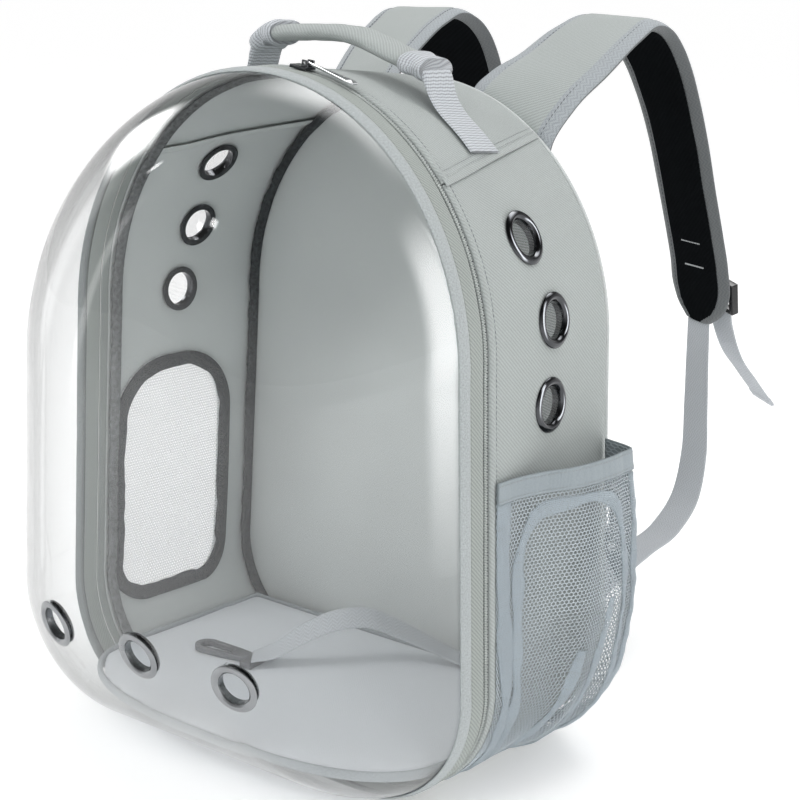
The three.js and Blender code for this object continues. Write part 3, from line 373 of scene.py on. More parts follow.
def skin_object(name: str, rings: Array, cap: Cap, poles: Sequence[Array] = (),
                uv: Array | None = None) -> Any:
    """A closed body through rings of equal length.

    Args:
        name: Name of the piece.
        rings: Points of each ring, rows by places round it.
        cap: How the first and last rings close.
        poles: The two end points where the ends close on points.
        uv: Pairs in metres for each ring point, instead of the surface's own lengths.

    Returns:
        The new object.
    """
    rings = np.asarray(rings, float)
    rows, size, _ = rings.shape
    loop = cap is Cap.LOOP
    if uv is None:
        down = np.r_[0, np.cumsum(np.linalg.norm(np.diff(rings, axis=0), axis=2).mean(1))]
        closed = np.concatenate([rings, rings[:, :1]], 1)
        across = np.concatenate([np.zeros((rows, 1)), np.cumsum(np.linalg.norm(np.diff(closed, axis=1),
                                                                               axis=2), 1)], 1)
        grid = np.stack([np.broadcast_to(down[:, None], across.shape), across], -1) * MM
    else:
        grid = np.concatenate([uv, uv[:, :1]], 1)
    if loop:
        last = grid[:1].copy()
        last[..., 0] = grid[-1, :1, 0] + np.linalg.norm(rings[0] - rings[-1], axis=1).mean() * MM
        grid = np.concatenate([grid, last], 0)
    here, side = np.meshgrid(np.arange(rows if loop else rows - 1), np.arange(size), indexing="ij")
    after, beside = (here + 1) % rows, (side + 1) % size
    quads = np.stack([here * size + side, here * size + beside, after * size + beside, after * size + side],
                     -1)
    corners = np.stack([grid[here, side], grid[here, side + 1], grid[here + 1, side + 1],
                        grid[here + 1, side]], 2)
    faces = quads.reshape(-1, 4).tolist()
    uvs = corners.reshape(-1, 2).tolist()
    points = rings.reshape(-1, 3)
    if cap is Cap.LADDER:
        for start, row in ((0, 0), ((rows - 1) * size, rows - 1)):
            for index in range(size // 2 - 1):
                far = size - 1 - index
                faces.append([start + index, start + index + 1, start + far - 1, start + far])
                uvs += [grid[row, k].tolist() for k in (index, index + 1, far - 1, far)]
    elif cap is Cap.POLES:
        points = np.vstack([points, poles])
        for start, row, pole in ((0, 0, rows * size), ((rows - 1) * size, rows - 1, rows * size + 1)):
            middle = grid[row, :size].mean(0).tolist()
            for index in range(size):
                faces.append([start + index, start + (index + 1) % size, pole])
                uvs += [grid[row, index].tolist(), grid[row, index + 1].tolist(), middle]
    return mesh_object(name, points, faces, uvs)


def wall_object(name: str, outer: Array, inner: Array) -> Any:
    """A thin wall between two grids of points."""
    return skin_object(name, np.concatenate([outer, inner[:, ::-1]], 1), Cap.LADDER)


def settle(piece: Any) -> Any:
    """Turns the piece's modifiers into plain mesh."""
    shown = piece.evaluated_get(bpy.context.evaluated_depsgraph_get())
    mesh = bpy.data.meshes.new_from_object(shown)
    mesh.name = piece.name
    old = piece.data
    piece.modifiers.clear()
    piece.data = mesh
    bpy.data.meshes.remove(old)
    return piece


def cut_with(piece: Any, cutters: Iterable[Any]) -> Any:
    """Cuts other bodies out of the piece and deletes them."""
    cutters = list(cutters)
    for cutter in cutters:
        hole = piece.modifiers.new("hole", "BOOLEAN")
        hole.operation = "DIFFERENCE"
        hole.solver = "EXACT"
        hole.object = cutter
    settle(piece)
    for cutter in cutters:
        bpy.data.objects.remove(cutter)
    return piece


def merged_copy(node: str, name: str, bevel: float = 0.0, segments: int = 3) -> Any:
    """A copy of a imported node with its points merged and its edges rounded.

    Args:
        node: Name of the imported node.
        name: Name of the new piece.
        bevel: Width of the rounding in millimetres.
        segments: Steps of the rounding.

    Returns:
        The new piece.
    """
    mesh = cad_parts[node].data.copy()
    mesh.name = name
    work = bmesh.new()
    work.from_mesh(mesh)
    bmesh.ops.remove_doubles(work, verts=work.verts, dist=1e-6)
    bmesh.ops.dissolve_limit(work, angle_limit=math.radians(1), verts=work.verts, edges=work.edges)
    bmesh.ops.recalc_face_normals(work, faces=work.faces)
    work.to_mesh(mesh)
    work.free()
    mesh.materials.clear()
    mesh.polygons.foreach_set("use_smooth", [True] * len(mesh.polygons))
    piece = bpy.data.objects.new(name, mesh)
    bpy.context.scene.collection.objects.link(piece)
    if bevel:
        round_edges = piece.modifiers.new("rounding", "BEVEL")
        round_edges.width = bevel * MM
        round_edges.segments = segments
        round_edges.angle_limit = math.radians(35)
        round_edges.harden_normals = True
        settle(piece)
    return piece


def lathe_object(name: str, profile: Sequence[tuple[float, float]], place: Matrix, sides: int = 64) -> Any:
    """A ring turned round the place's Z axis from a closed profile of radius and height."""
    turn = np.linspace(0, math.tau, sides, endpoint=False)
    profile = np.asarray(profile, float)
    rings = np.stack([
        np.cos(turn)[:, None] * profile[:, 0],
        np.sin(turn)[:, None] * profile[:, 0],
        np.broadcast_to(profile[:, 1], (sides, len(profile))),
    ], -1)
    return skin_object(name, placed(rings, place), Cap.LOOP)


def rounded_profile(profile: Sequence[tuple[float, float]], radius: float, steps: int = 3) -> Array:
    """A closed profile with its corners rounded."""
    corners = np.asarray(profile, float)
    out = []
    for index, here in enumerate(corners):
        before, after = corners[index - 1], corners[(index + 1) % len(corners)]
        start = here + unit(before - here) * min(radius, np.linalg.norm(before - here) * 0.45)
        end = here + unit(after - here) * min(radius, np.linalg.norm(after - here) * 0.45)
        for t in np.linspace(0, 1, steps + 1):
            out.append((1 - t) ** 2 * start + 2 * t * (1 - t) * here + t**2 * end)
    return np.array(out)


def cylinder(place: Matrix, radius: float, low: float, high: float, sides: int = 64) -> Any:
    """A cutter: a round plug along the place's Z axis."""
    turn = np.linspace(0, math.tau, sides, endpoint=False)
    rim = np.column_stack([np.cos(turn) * radius, np.sin(turn) * radius, np.zeros(sides)])
    ends = np.array([[0, 0, low], [0, 0, high]])
    return skin_object("plug", placed(rim[None] + ends[:, None], place), Cap.POLES, placed(ends, place))


@dataclass
class Strip:
    """A strip along a path, such as webbing or a padded strap.

    Rows hold the centre, the width's direction, half the width and half the thickness.
    """

    centres: Array
    across: Array
    half: Array
    deep: Array

    def smooth(self, step: float) -> "Strip":
        """The same strip with a row about every step along its path."""
        run = self.run
        at = np.linspace(0, run[-1], max(int(run[-1] / step), 4) + 1)
        table = np.column_stack([self.centres, self.across, self.half, self.deep])
        rows = spline(run, table, at)
        return Strip(rows[:, :3], unit(rows[:, 3:6]), rows[:, 6], rows[:, 7])

    @property
    def run(self) -> Array:
        """Length along the path to each row."""
        return run_of(self.centres)

    @property
    def thick(self) -> Array:
        """Direction of the thickness at each row."""
        return unit(np.cross(np.gradient(self.centres, axis=0), self.across))

    def place(self, side: Array, height: Array) -> Array:
        """Points at these distances across and above the path, one row of them for each row of the strip."""
        return (self.centres[:, None] + self.across[:, None] * np.asarray(side)[..., None]
                + self.thick[:, None] * np.asarray(height)[..., None])

    def sections(self, points: int = 24, power: float = 8.0) -> Array:
        """Closed sections with rounded edges: along the upper face, then back along the lower one."""
        share = np.linspace(-1, 1, points)
        side = np.sin(share * math.pi / 2) * 0.35 + share * 0.65
        rise = np.maximum(1 - np.abs(side) ** power, 0) ** 0.5
        rise = np.maximum(rise, 0.05)
        upper = self.place(side[None] * self.half[:, None], rise[None] * self.deep[:, None])
        lower = self.place(side[None, ::-1] * self.half[:, None], -rise[None, ::-1] * self.deep[:, None])
        return np.concatenate([upper, lower], 1)

    def build(self, name: str, points: int = 24, power: float = 8.0) -> Any:
        """The strip as a closed body."""
        return skin_object(name, self.sections(points, power), Cap.LADDER)


# Node trees


class Value:
    """A socket's value, ready for arithmetic."""

    def __init__(self, nodes: "Nodes", socket: Any) -> None:
        """Keeps the socket and what adds nodes to its tree."""
        self.nodes, self.socket = nodes, socket

    def __add__(self, other: Any) -> "Value":
        """The sum."""
        return self.nodes.math("ADD", self, other)

    def __sub__(self, other: Any) -> "Value":
        """What is left of this value."""
        return self.nodes.math("SUBTRACT", self, other)

    def __rsub__(self, other: Any) -> "Value":
        """What this value leaves of the other."""
        return self.nodes.math("SUBTRACT", other, self)

    def __mul__(self, other: Any) -> "Value":
        """The product."""
        return self.nodes.math("MULTIPLY", self, other)

    def __truediv__(self, other: Any) -> "Value":
        """The quotient."""
        return self.nodes.math("DIVIDE", self, other)

    def __rtruediv__(self, other: Any) -> "Value":
        """The other value over this one."""
        return self.nodes.math("DIVIDE", other, self)

    def __pow__(self, other: Any) -> "Value":
        """The power."""
        return self.nodes.math("POWER", self, other)

    def __abs__(self) -> "Value":
        """The value without its sign."""
        return self.nodes.math("ABSOLUTE", self)


class Nodes:
    """Adds nodes to one tree and joins them."""

    def __init__(self, tree: Any) -> None:
        """Keeps the tree."""
        self.tree = tree

    def feed(self, socket: Any, value: Any) -> None:
        """Links a socket to another, or sets its value."""
        value = value.socket if isinstance(value, Value) else value
        if isinstance(value, bpy.types.NodeSocket):
            self.tree.links.new(value, socket)
        else:
            socket.default_value = value

    def add(self, kind: str, inputs: dict | None = None, **settings: Any) -> Any:
        """A new node with its settings and inputs."""
        node = self.tree.nodes.new(kind)
        for key, value in settings.items():
            setattr(node, key, value)
        for key, value in (inputs or {}).items():
            self.feed(node.inputs[key], value)
        return node

    def value(self, socket: Any) -> Value:
        """The socket's value."""
        return Value(self, socket)

    def parts(self, vector: Any) -> tuple[Value, Value, Value]:
        """A vector's three numbers."""
        node = self.add("ShaderNodeSeparateXYZ", {"Vector": vector})
        return tuple(self.value(socket) for socket in node.outputs)

    def math(self, operation: str, *values: Any) -> Value:
        """The result of one arithmetic step."""
        return self.value(self.add("ShaderNodeMath", dict(enumerate(values)), operation=operation).outputs[0])

    def wave(self, value: Value) -> Value:
        """A row of round bumps, one for each whole number."""
        return abs(self.math("SINE", value * math.pi))

    def mix(self, factor: Any, first: Any, second: Any) -> Value:
        """A value between two others."""
        node = self.add("ShaderNodeMix", {"Factor": factor, "A": first, "B": second}, data_type="FLOAT")
        return self.value(node.outputs["Result"])

    def scaled(self, vector: Any, factor: Any) -> Any:
        """A vector times a number."""
        node = self.add("ShaderNodeVectorMath", {"Vector": vector, "Scale": factor}, operation="SCALE")
        return node.outputs["Vector"]

    def noise(self, vector: Any, scale: Any, detail: float = 2.0) -> Value:
        """Noise between 0 and 1."""
        node = self.add("ShaderNodeTexNoise", {"Vector": vector, "Scale": scale, "Detail": detail})
        return self.value(node.outputs["Fac"])

    def ramp(self, value: Any, low: float, high: float, to_low: float = 0.0, to_high: float = 1.0) -> Value:
        """A value carried smoothly from one range to another."""
        ends = {"From Min": low, "From Max": high, "To Min": to_low, "To Max": to_high}
        node = self.add("ShaderNodeMapRange", {"Value": value, **ends}, interpolation_type="SMOOTHSTEP")
        return self.value(node.outputs["Result"])


def shader_group(name: str, inputs: dict[str, Any], outputs: Sequence[str],
                 fill: Callable[[Nodes, dict, dict], None]) -> Any:
    """A shared effect, built once.

    Args:
        name: The group's name.
        inputs: Default of each input; a None stands for a vector.
        outputs: Name of each output.
        fill: Adds the nodes between the input sockets and the output sockets.

    Returns:
        The node tree.
    """
    if name in bpy.data.node_groups:
        return bpy.data.node_groups[name]
    tree = bpy.data.node_groups.new(name, "ShaderNodeTree")
    for key, default in inputs.items():
        kind = VECTOR if default is None else FLOAT
        socket = tree.interface.new_socket(name=key, in_out="INPUT", socket_type=kind)
        if default is not None:
            socket.default_value = default
    for key in outputs:
        tree.interface.new_socket(name=key, in_out="OUTPUT", socket_type=FLOAT)
    nodes = Nodes(tree)
    start, end = nodes.add("NodeGroupInput"), nodes.add("NodeGroupOutput")
    given = {key: nodes.value(start.outputs[key]) for key in inputs}
    fill(nodes, given, {key: end.inputs[key] for key in outputs})
    return tree




def weave_group() -> Any:
    """Crossing threads: twill, or herringbone where the slant turns back after each band."""
    def fill(n: Nodes, given: dict, out: dict) -> None:
        """Adds the nodes."""
        u, v, _ = n.parts(n.scaled(given["Vector"], 1 / given["Thread"]))
        over = n.ramp(n.math("PINGPONG", n.math("PINGPONG", u, given["Band"]) + v, 2.0), 0.75, 1.25)
        height = n.mix(over, n.wave(u), n.wave(v)) * 0.7 + over * 0.3
        n.feed(out["Height"], height)
        # Shade darkens the hollows between threads: painted shade.
        n.feed(out["Shade"], 1 - (1 - height) * given["Depth"])

    return shader_group("crossing_threads", {"Vector": None, "Thread": 0.0007, "Band": 1000.0, "Depth": 0.3},
                        ("Height", "Shade"), fill)


def rib_group() -> Any:
    """Ribs across a strip, each broken by the threads that run along it."""
    def fill(n: Nodes, given: dict, out: dict) -> None:
        """Adds the nodes."""
        x, y, _ = n.parts(given["Vector"])
        v = y / given["Thread"]
        rib = n.wave(x / given["Pitch"] + n.math("PINGPONG", v, 2.0) * given["Slant"])
        height = rib ** 0.6 * 0.75 + n.wave(v) * 0.25
        n.feed(out["Height"], height)
        # Shade darkens the hollows between ribs and threads: painted shade.
        n.feed(out["Shade"], 1 - (1 - height) * given["Depth"])

    return shader_group("strip_ribs", {"Vector": None, "Pitch": 0.0011, "Thread": 0.0009, "Slant": 0.1,
                                       "Depth": 0.4},
                        ("Height", "Shade"), fill)


def fuzz_group() -> Any:
    """Uneven colour and loose fibres."""
    def fill(n: Nodes, given: dict, out: dict) -> None:
        """Adds the nodes."""
        broad = n.noise(given["Vector"], given["Broad"])
        fine = n.noise(given["Vector"], given["Fine"], 3.0)
        n.feed(out["Shade"], (broad - 0.5) * given["Sway"] + (fine - 0.5) * given["Fleck"] + 1)
        n.feed(out["Height"], fine)

    return shader_group("fibre_fuzz", {"Vector": None, "Broad": 9.0, "Fine": 900.0, "Sway": 0.2,
                                       "Fleck": 0.2},
                        ("Height", "Shade"), fill)


def net_group() -> Any:
    """Rows of oval holes, each row shifted by half a hole."""
    def fill(n: Nodes, given: dict, out: dict) -> None:
        """Adds the nodes."""
        x, y, _ = n.parts(given["Vector"])
        v = y / given["Tall"]
        u = x / given["Wide"] + n.math("MODULO", n.math("FLOOR", v), 2.0) * 0.5
        du, dv = n.math("FRACT", u) - 0.5, n.math("FRACT", v) - 0.5
        reach = n.math("SQRT", du * du + dv * dv)
        n.feed(out["Thread"], n.ramp(reach - given["Hole"], -0.05, 0.05))
        n.feed(out["Height"], n.ramp(reach, 0.2, 0.6))

    return shader_group("hole_rows", {"Vector": None, "Wide": 0.0016, "Tall": 0.0014, "Hole": 0.33},
                        ("Thread", "Height"), fill)


def grain_group() -> Any:
    """Fine scratches and specks on hard surfaces."""
    def fill(n: Nodes, given: dict, out: dict) -> None:
        """Adds the nodes."""
        broad = n.noise(given["Vector"], given["Scale"] * 0.06, 2.0)
        n.feed(out["Height"], n.noise(given["Vector"], given["Scale"], 4.0))
        n.feed(out["Shade"], n.ramp(broad, 0.3, 0.7, 0.9, 1.04))
        n.feed(out["Roughness"], given["Base"] + (broad - 0.5) * 0.2)

    return shader_group("hard_grain", {"Vector": None, "Scale": 1500.0, "Base": 0.3},
                        ("Height", "Shade", "Roughness"), fill)


# Finishes


FINISHES: dict[str, Any] = {}


class Weave(Enum):
    """How a cloth is made."""

    TWILL = "twill"
    HERRINGBONE = "herringbone"
    RIBBED = "ribbed"
    BRUSHED = "brushed"


class Coordinates(Enum):
    """What a pattern follows."""

    CLOTH = "the piece's own lengths"
    PLACE = "the object's space"


class Material:
    """A new material with a Principled shader and helpers to fill it."""

    def __init__(self, name: str, coordinates: Coordinates) -> None:
        """Makes the material's nodes."""
        self.data = bpy.data.materials.new(f"{name}_finish")
        FINISHES[name] = self.data
        self.data.use_nodes = True
        self.nodes = Nodes(self.data.node_tree)
        self.data.node_tree.nodes.clear()
        self.output = self.nodes.add("ShaderNodeOutputMaterial")
        self.shader = self.nodes.add("ShaderNodeBsdfPrincipled")
        self.nodes.feed(self.output.inputs["Surface"], self.shader.outputs["BSDF"])
        if coordinates is Coordinates.CLOTH:
            self.vector = self.nodes.add("ShaderNodeUVMap", uv_map="Cloth").outputs["UV"]
        else:
            self.vector = self.nodes.add("ShaderNodeTexCoord").outputs["Object"]

    def group(self, tree: Any, **inputs: Any) -> Any:
        """A shared effect placed in this material."""
        node = self.nodes.add("ShaderNodeGroup", node_tree=tree)
        for key, value in inputs.items():
            self.nodes.feed(node.inputs[key], value)
        if "Vector" in node.inputs and not node.inputs["Vector"].is_linked:
            self.nodes.feed(node.inputs["Vector"], self.vector)
        return node

    def colour(self, colour: Colour, *shades: Any) -> None:
        """The base colour under one or more shades."""
        value = self.nodes.add("ShaderNodeCombineXYZ", {"X": colour[0], "Y": colour[1],
                                                        "Z": colour[2]}).outputs[0]
        for shade in shades:
            value = self.nodes.scaled(value, shade)
        self.nodes.feed(self.shader.inputs["Base Color"], value)

    def bump(self, height: Any, relief: float) -> None:
        """Relief in millimetres from a height of 0 to 1."""
        bump = self.nodes.add("ShaderNodeBump", {"Height": height, "Distance": relief * MM, "Strength": 1.0})
        previous = self.shader.inputs["Normal"]
        if previous.is_linked:
            self.nodes.feed(bump.inputs["Normal"], previous.links[0].from_socket)
        self.nodes.feed(previous, bump.outputs["Normal"])

    def set(self, **values: float) -> None:
        """Plain values on the shader's own sockets."""
        for key, value in values.items():
            self.shader.inputs[key.replace("_", " ")].default_value = value


@dataclass(frozen=True)
class Cloth:
    """A woven or brushed cloth.

    Attributes give its colour, weave, thread in millimetres, relief in millimetres, how dark the painted
    shade in its hollows is and how uneven its colour is.
    """

    name: str
    colour: Colour
    weave: Weave = Weave.TWILL
    thread: float = 0.75
    relief: float = 0.18
    hollow: float = 0.35
    uneven: float = 0.1
    fleck: float = 0.2
    band: float = 1000.0
    sheen: float = 0.15
    grain: float = 900.0
    coordinates: Coordinates = Coordinates.CLOTH

    def material(self) -> Any:
        """The finish as a material, made once."""
        if self.name in FINISHES:
            return FINISHES[self.name]
        made = Material(self.name, self.coordinates)
        fuzz = made.group(fuzz_group(), Sway=self.uneven, Fleck=self.fleck, Fine=self.grain)
        shades = [fuzz.outputs["Shade"]]
        if self.weave is Weave.RIBBED:
            threads = made.group(rib_group(), Pitch=self.thread * MM, Thread=self.thread * 0.8 * MM,
                                 Depth=self.hollow)
        elif self.weave is not Weave.BRUSHED:
            band = self.band if self.weave is Weave.HERRINGBONE else 1000.0
            threads = made.group(weave_group(), Thread=self.thread * MM, Band=band, Depth=self.hollow)
        else:
            threads = None
        if threads:
            # The threads' Shade darkens the colour in the hollows between threads: painted shade.
            shades.append(threads.outputs["Shade"])
            made.bump(threads.outputs["Height"], self.relief)
        made.bump(fuzz.outputs["Height"], self.relief * (1.6 if threads is None else 0.35))
        made.colour(self.colour, *shades)
        made.set(Roughness=0.92, Sheen_Weight=self.sheen, Sheen_Roughness=0.5,
                 Specular_IOR_Level=min(self.sheen * 1.5, 0.25))
        return made.data


@dataclass(frozen=True)
class Net:
    """A see-through net as rows of holes in a thin sheet."""

    name: str
    colour: Colour
    wide: float
    tall: float
    hole: float
    coordinates: Coordinates = Coordinates.CLOTH

    def material(self) -> Any:
        """The finish as a material, made once."""
        if self.name in FINISHES:
            return FINISHES[self.name]
        made = Material(self.name, self.coordinates)
        holes = made.group(net_group(), Wide=self.wide * MM, Tall=self.tall * MM, Hole=self.hole)
        fuzz = made.group(fuzz_group(), Sway=0.12, Fleck=0.15)
        made.colour(self.colour, fuzz.outputs["Shade"])
        made.bump(holes.outputs["Height"], 0.25)
        made.nodes.feed(made.shader.inputs["Alpha"], holes.outputs["Thread"])
        made.set(Roughness=0.75, Sheen_Weight=0.15, Specular_IOR_Level=0.3)
        return made.data


@dataclass(frozen=True)
class Hard:
    """Metal or moulded plastic."""

    name: str
    colour: Colour
    metallic: float = 0.0
    roughness: float = 0.3
    coat: float = 0.0
    relief: float = 0.01

    def material(self) -> Any:
        """The finish as a material, made once."""
        if self.name in FINISHES:
            return FINISHES[self.name]
        made = Material(self.name, Coordinates.PLACE)
        grain = made.group(grain_group(), Base=self.roughness)
        made.colour(self.colour, grain.outputs["Shade"])
        made.nodes.feed(made.shader.inputs["Roughness"], grain.outputs["Roughness"])
        made.bump(grain.outputs["Height"], self.relief)
        made.set(Metallic=self.metallic, Coat_Weight=self.coat, Coat_Roughness=0.1)
        return made.data


@dataclass(frozen=True)
class ClearSheet:
    """Clear moulded plastic, greyed at a slant by painted shade, that lets lamps shine through."""

    name: str
    face: Colour = (0.975, 0.98, 0.98)
    # The grey that painted shade turns the sheet towards at a slant, and how strongly it does so.
    edge: Colour = (0.06, 0.06, 0.065)
    painted_slant_shade: float = 0.42
    painted_edge_shade: float = 0.6
    index: float = 1.45
    roughness: float = 0.0

    def material(self) -> Any:
        """The finish as a material, made once."""
        if self.name in FINISHES:
            return FINISHES[self.name]
        made = Material(self.name, Coordinates.PLACE)
        n = made.nodes
        # Layer Weight darkens the colour towards the edge grey where the sheet is seen at a slant: painted
        # shade for the dome's dark rim.
        slant = n.value(n.add("ShaderNodeLayerWeight", {"Blend": 0.5}).outputs["Facing"])
        painted_edge_shade = slant ** 1.6 * self.painted_slant_shade + slant ** 4.6 * self.painted_edge_shade
        painted_shade_colour = n.add("ShaderNodeMix", {"Factor": painted_edge_shade, "A": (*self.face, 1), "B": (*self.edge, 1)},
                     data_type="RGBA")
        n.feed(made.shader.inputs["Base Color"], painted_shade_colour.outputs["Result"])
        made.bump(n.noise(made.vector, 26.0, 1.0), 0.1)
        made.set(Transmission_Weight=1.0, Roughness=self.roughness, IOR=self.index)
        see = n.add("ShaderNodeBsdfTransparent", {"Color": (*self.face, 1)})
        ray = n.add("ShaderNodeLightPath")
        passing = n.math("MAXIMUM", ray.outputs["Is Shadow Ray"], ray.outputs["Is Diffuse Ray"])
        mixed = n.add("ShaderNodeMixShader", {0: passing, 1: made.shader.outputs[0], 2: see.outputs[0]})
        n.feed(made.output.inputs["Surface"], mixed.outputs[0])
        return made.data


GREY_TWILL = Cloth("grey_twill", (0.50, 0.54, 0.53), thread=0.62, relief=0.22, hollow=0.5, uneven=0.14)
INNER_CLOTH = Cloth("inner_cloth", (0.56, 0.59, 0.585), thread=0.5, relief=0.02, hollow=0.12, uneven=0.24)
BAND_TWILL = Cloth("band_twill", (0.45, 0.49, 0.465), thread=0.62, relief=0.25, hollow=0.6)
PIPING = Cloth("brushed_piping", (0.40, 0.43, 0.435), Weave.BRUSHED, relief=0.4, fleck=0.7)
DARK_BINDING = Cloth("dark_binding", (0.05, 0.055, 0.058), Weave.BRUSHED, relief=1.1, fleck=2.0, uneven=0.6,
                     sheen=0.05, grain=420.0)
SOFT_BINDING = Cloth("soft_binding", (0.15, 0.157, 0.16), Weave.BRUSHED, relief=1.0, fleck=1.6, uneven=1.1,
                     sheen=0.05, grain=300.0)
LIGHT_BINDING = Cloth("light_binding", (0.44, 0.475, 0.50), Weave.HERRINGBONE, thread=0.7, band=4.0,
                      hollow=0.45)
# A darker copy of the light binding for the strap's lining face: painted shade.
SHADED_BINDING = Cloth("shaded_binding", (0.17, 0.182, 0.187), Weave.HERRINGBONE, thread=0.7, band=4.0,
                     hollow=0.45)
WEBBING = Cloth("ribbed_webbing", (0.60, 0.63, 0.665), Weave.RIBBED, thread=2.0, relief=0.4, hollow=0.75)
FINE_WEBBING = Cloth("fine_webbing", (0.60, 0.63, 0.665), Weave.HERRINGBONE, thread=0.65, band=5.0,
                     relief=0.2, hollow=0.4)
TAPE = Cloth("zipper_tape", (0.33, 0.36, 0.345), Weave.TWILL, thread=0.5, relief=0.1)
MAT_CLOTH = Cloth("mat_cloth", (0.74, 0.765, 0.80), thread=0.5, relief=0.06, hollow=0.12, uneven=0.06)
STRAP_LINING = Cloth("strap_lining", (0.008, 0.009, 0.010), thread=1.0, relief=0.3, hollow=0.5, sheen=0.0)
HEM = Cloth("hem_tape", (0.33, 0.375, 0.40), Weave.RIBBED, thread=0.9, relief=0.15, hollow=0.3)
POCKET_STRAND = Cloth("pocket_strand", (0.47, 0.52, 0.555), Weave.BRUSHED, relief=0.05,
                      coordinates=Coordinates.PLACE)
THREAD = Cloth("sewing_thread", (0.30, 0.32, 0.33), Weave.BRUSHED, relief=0.05, coordinates=Coordinates.PLACE)
DARK_THREAD = Cloth("dark_thread", (0.07, 0.075, 0.08), Weave.BRUSHED, relief=0.05,
                    coordinates=Coordinates.PLACE)
PALE_THREAD = Cloth("pale_thread", (0.5, 0.52, 0.53), Weave.BRUSHED, relief=0.05,
                    coordinates=Coordinates.PLACE)
COIL = Hard("coil_nylon", (0.36, 0.39, 0.375), roughness=0.5)
WINDOW_NET = Net("window_net", (0.92, 0.93, 0.94), 2.1, 1.9, 0.43)
FOLD_NET = Net("fold_net", (0.47, 0.54, 0.59), 1.25, 1.1, 0.37)
VENT_NET = Net("vent_net", (0.06, 0.065, 0.065), 1.0, 0.9, 0.44)
# A lighter, more open copy of the vent net for the left vents seen from inside: the lighter colour is painted
# backlight.
LIT_OPEN_NET = Net("lit_open_vent_net", (0.3, 0.31, 0.32), 1.0, 0.9, 0.56)
GUNMETAL = Hard("gunmetal", (0.075, 0.078, 0.083), metallic=1.0, roughness=0.13)
RING_SILVER = Hard("ring_silver", (0.30, 0.31, 0.32), metallic=1.0, roughness=0.24)
BRIGHT = Hard("bright_nickel", (0.55, 0.56, 0.57), metallic=1.0, roughness=0.14)
HOOK_PLASTIC = Hard("hook_plastic", (0.15, 0.155, 0.165), roughness=0.42)
BLACK_PLASTIC = Hard("black_plastic", (0.004, 0.004, 0.005), roughness=0.28)
CLEAR = ClearSheet("clear_plastic")


def dress(piece: Any, *finishes: Any) -> Any:
    """Gives a piece its finishes, first to last slot."""
    piece.data.materials.clear()
    for finish in finishes:
        piece.data.materials.append(finish.material())
    return piece


def fasten(piece: Any, slot: str, *nodes: str, body: str = "bag") -> Any:
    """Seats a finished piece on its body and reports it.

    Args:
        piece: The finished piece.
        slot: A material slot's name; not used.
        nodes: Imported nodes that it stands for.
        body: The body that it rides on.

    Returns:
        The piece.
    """
    if nodes:
        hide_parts(*nodes)
    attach(piece, body)
    LOG.info("%s: %d faces, for %s", piece.name, len(piece.data.polygons), ", ".join(nodes) or "detail")
    return piece


# Repeats along paths


def repeat_tree(name: str, sizes: dict[str, Any], fill: Callable[[Nodes, Any], Any]) -> Any:
    """A geometry tree, built once, that takes a mesh, named sizes and a finish.

    Args:
        name: The tree's name.
        sizes: Default of each size: a number or a direction.
        fill: Adds the nodes that turn the inputs into shapes, and returns their socket.

    Returns:
        The tree, which ends in plain mesh with the finish.
    """
    if name in bpy.data.node_groups:
        return bpy.data.node_groups[name]
    tree = bpy.data.node_groups.new(name, "GeometryNodeTree")
    face = tree.interface
    face.new_socket(name="Source", in_out="INPUT", socket_type=GEOMETRY)
    for key, default in sizes.items():
        kind = FLOAT if isinstance(default, float) else VECTOR
        face.new_socket(name=key, in_out="INPUT", socket_type=kind).default_value = default
    face.new_socket(name="Finish", in_out="INPUT", socket_type="NodeSocketMaterial")
    face.new_socket(name="Result", in_out="OUTPUT", socket_type=GEOMETRY)
    n = Nodes(tree)
    given, end = n.add("NodeGroupInput").outputs, n.add("NodeGroupOutput")
    real = n.add("GeometryNodeRealizeInstances", {"Geometry": fill(n, given)}).outputs[0]
    finished = n.add("GeometryNodeSetMaterial", {"Geometry": real, "Material": given["Finish"]})
    n.feed(end.inputs["Result"], finished.outputs[0])
    return tree


def path_tree() -> Any:
    """Geometry nodes that set one small body at every step along a path."""
    def fill(n: Nodes, given: Any) -> Any:
        """Adds the nodes."""
        curve = n.add("GeometryNodeMeshToCurve", {"Mesh": given["Source"]}).outputs[0]
        spots = n.add("GeometryNodeCurveToPoints", {"Curve": curve, "Length": given["Pitch"]}, mode="LENGTH")
        turn = n.add("FunctionNodeAlignRotationToVector", {"Vector": spots.outputs["Tangent"]}, axis="Z")
        turn = n.add("FunctionNodeAlignRotationToVector",
                     {"Rotation": turn.outputs[0], "Vector": given["Side"]},
                     axis="X", pivot_axis="Z")
        body = n.add("GeometryNodeMeshUVSphere", {"Segments": 6, "Rings": 4, "Radius": 1.0})
        size = n.add("ShaderNodeCombineXYZ", {"X": given["Across"], "Y": given["Height"],
                                              "Z": given["Along"]})
        many = n.add("GeometryNodeInstanceOnPoints", {
            "Points": spots.outputs["Points"], "Instance": body.outputs["Mesh"],
            "Rotation": turn.outputs[0], "Scale": size.outputs[0]})
        return many.outputs[0]

    return repeat_tree("bodies_along_path", {"Pitch": 0.003, "Across": 0.0004, "Height": 0.0003,
                                             "Along": 0.001,
                                             "Side": (0.0, 1.0, 0.0)}, fill)


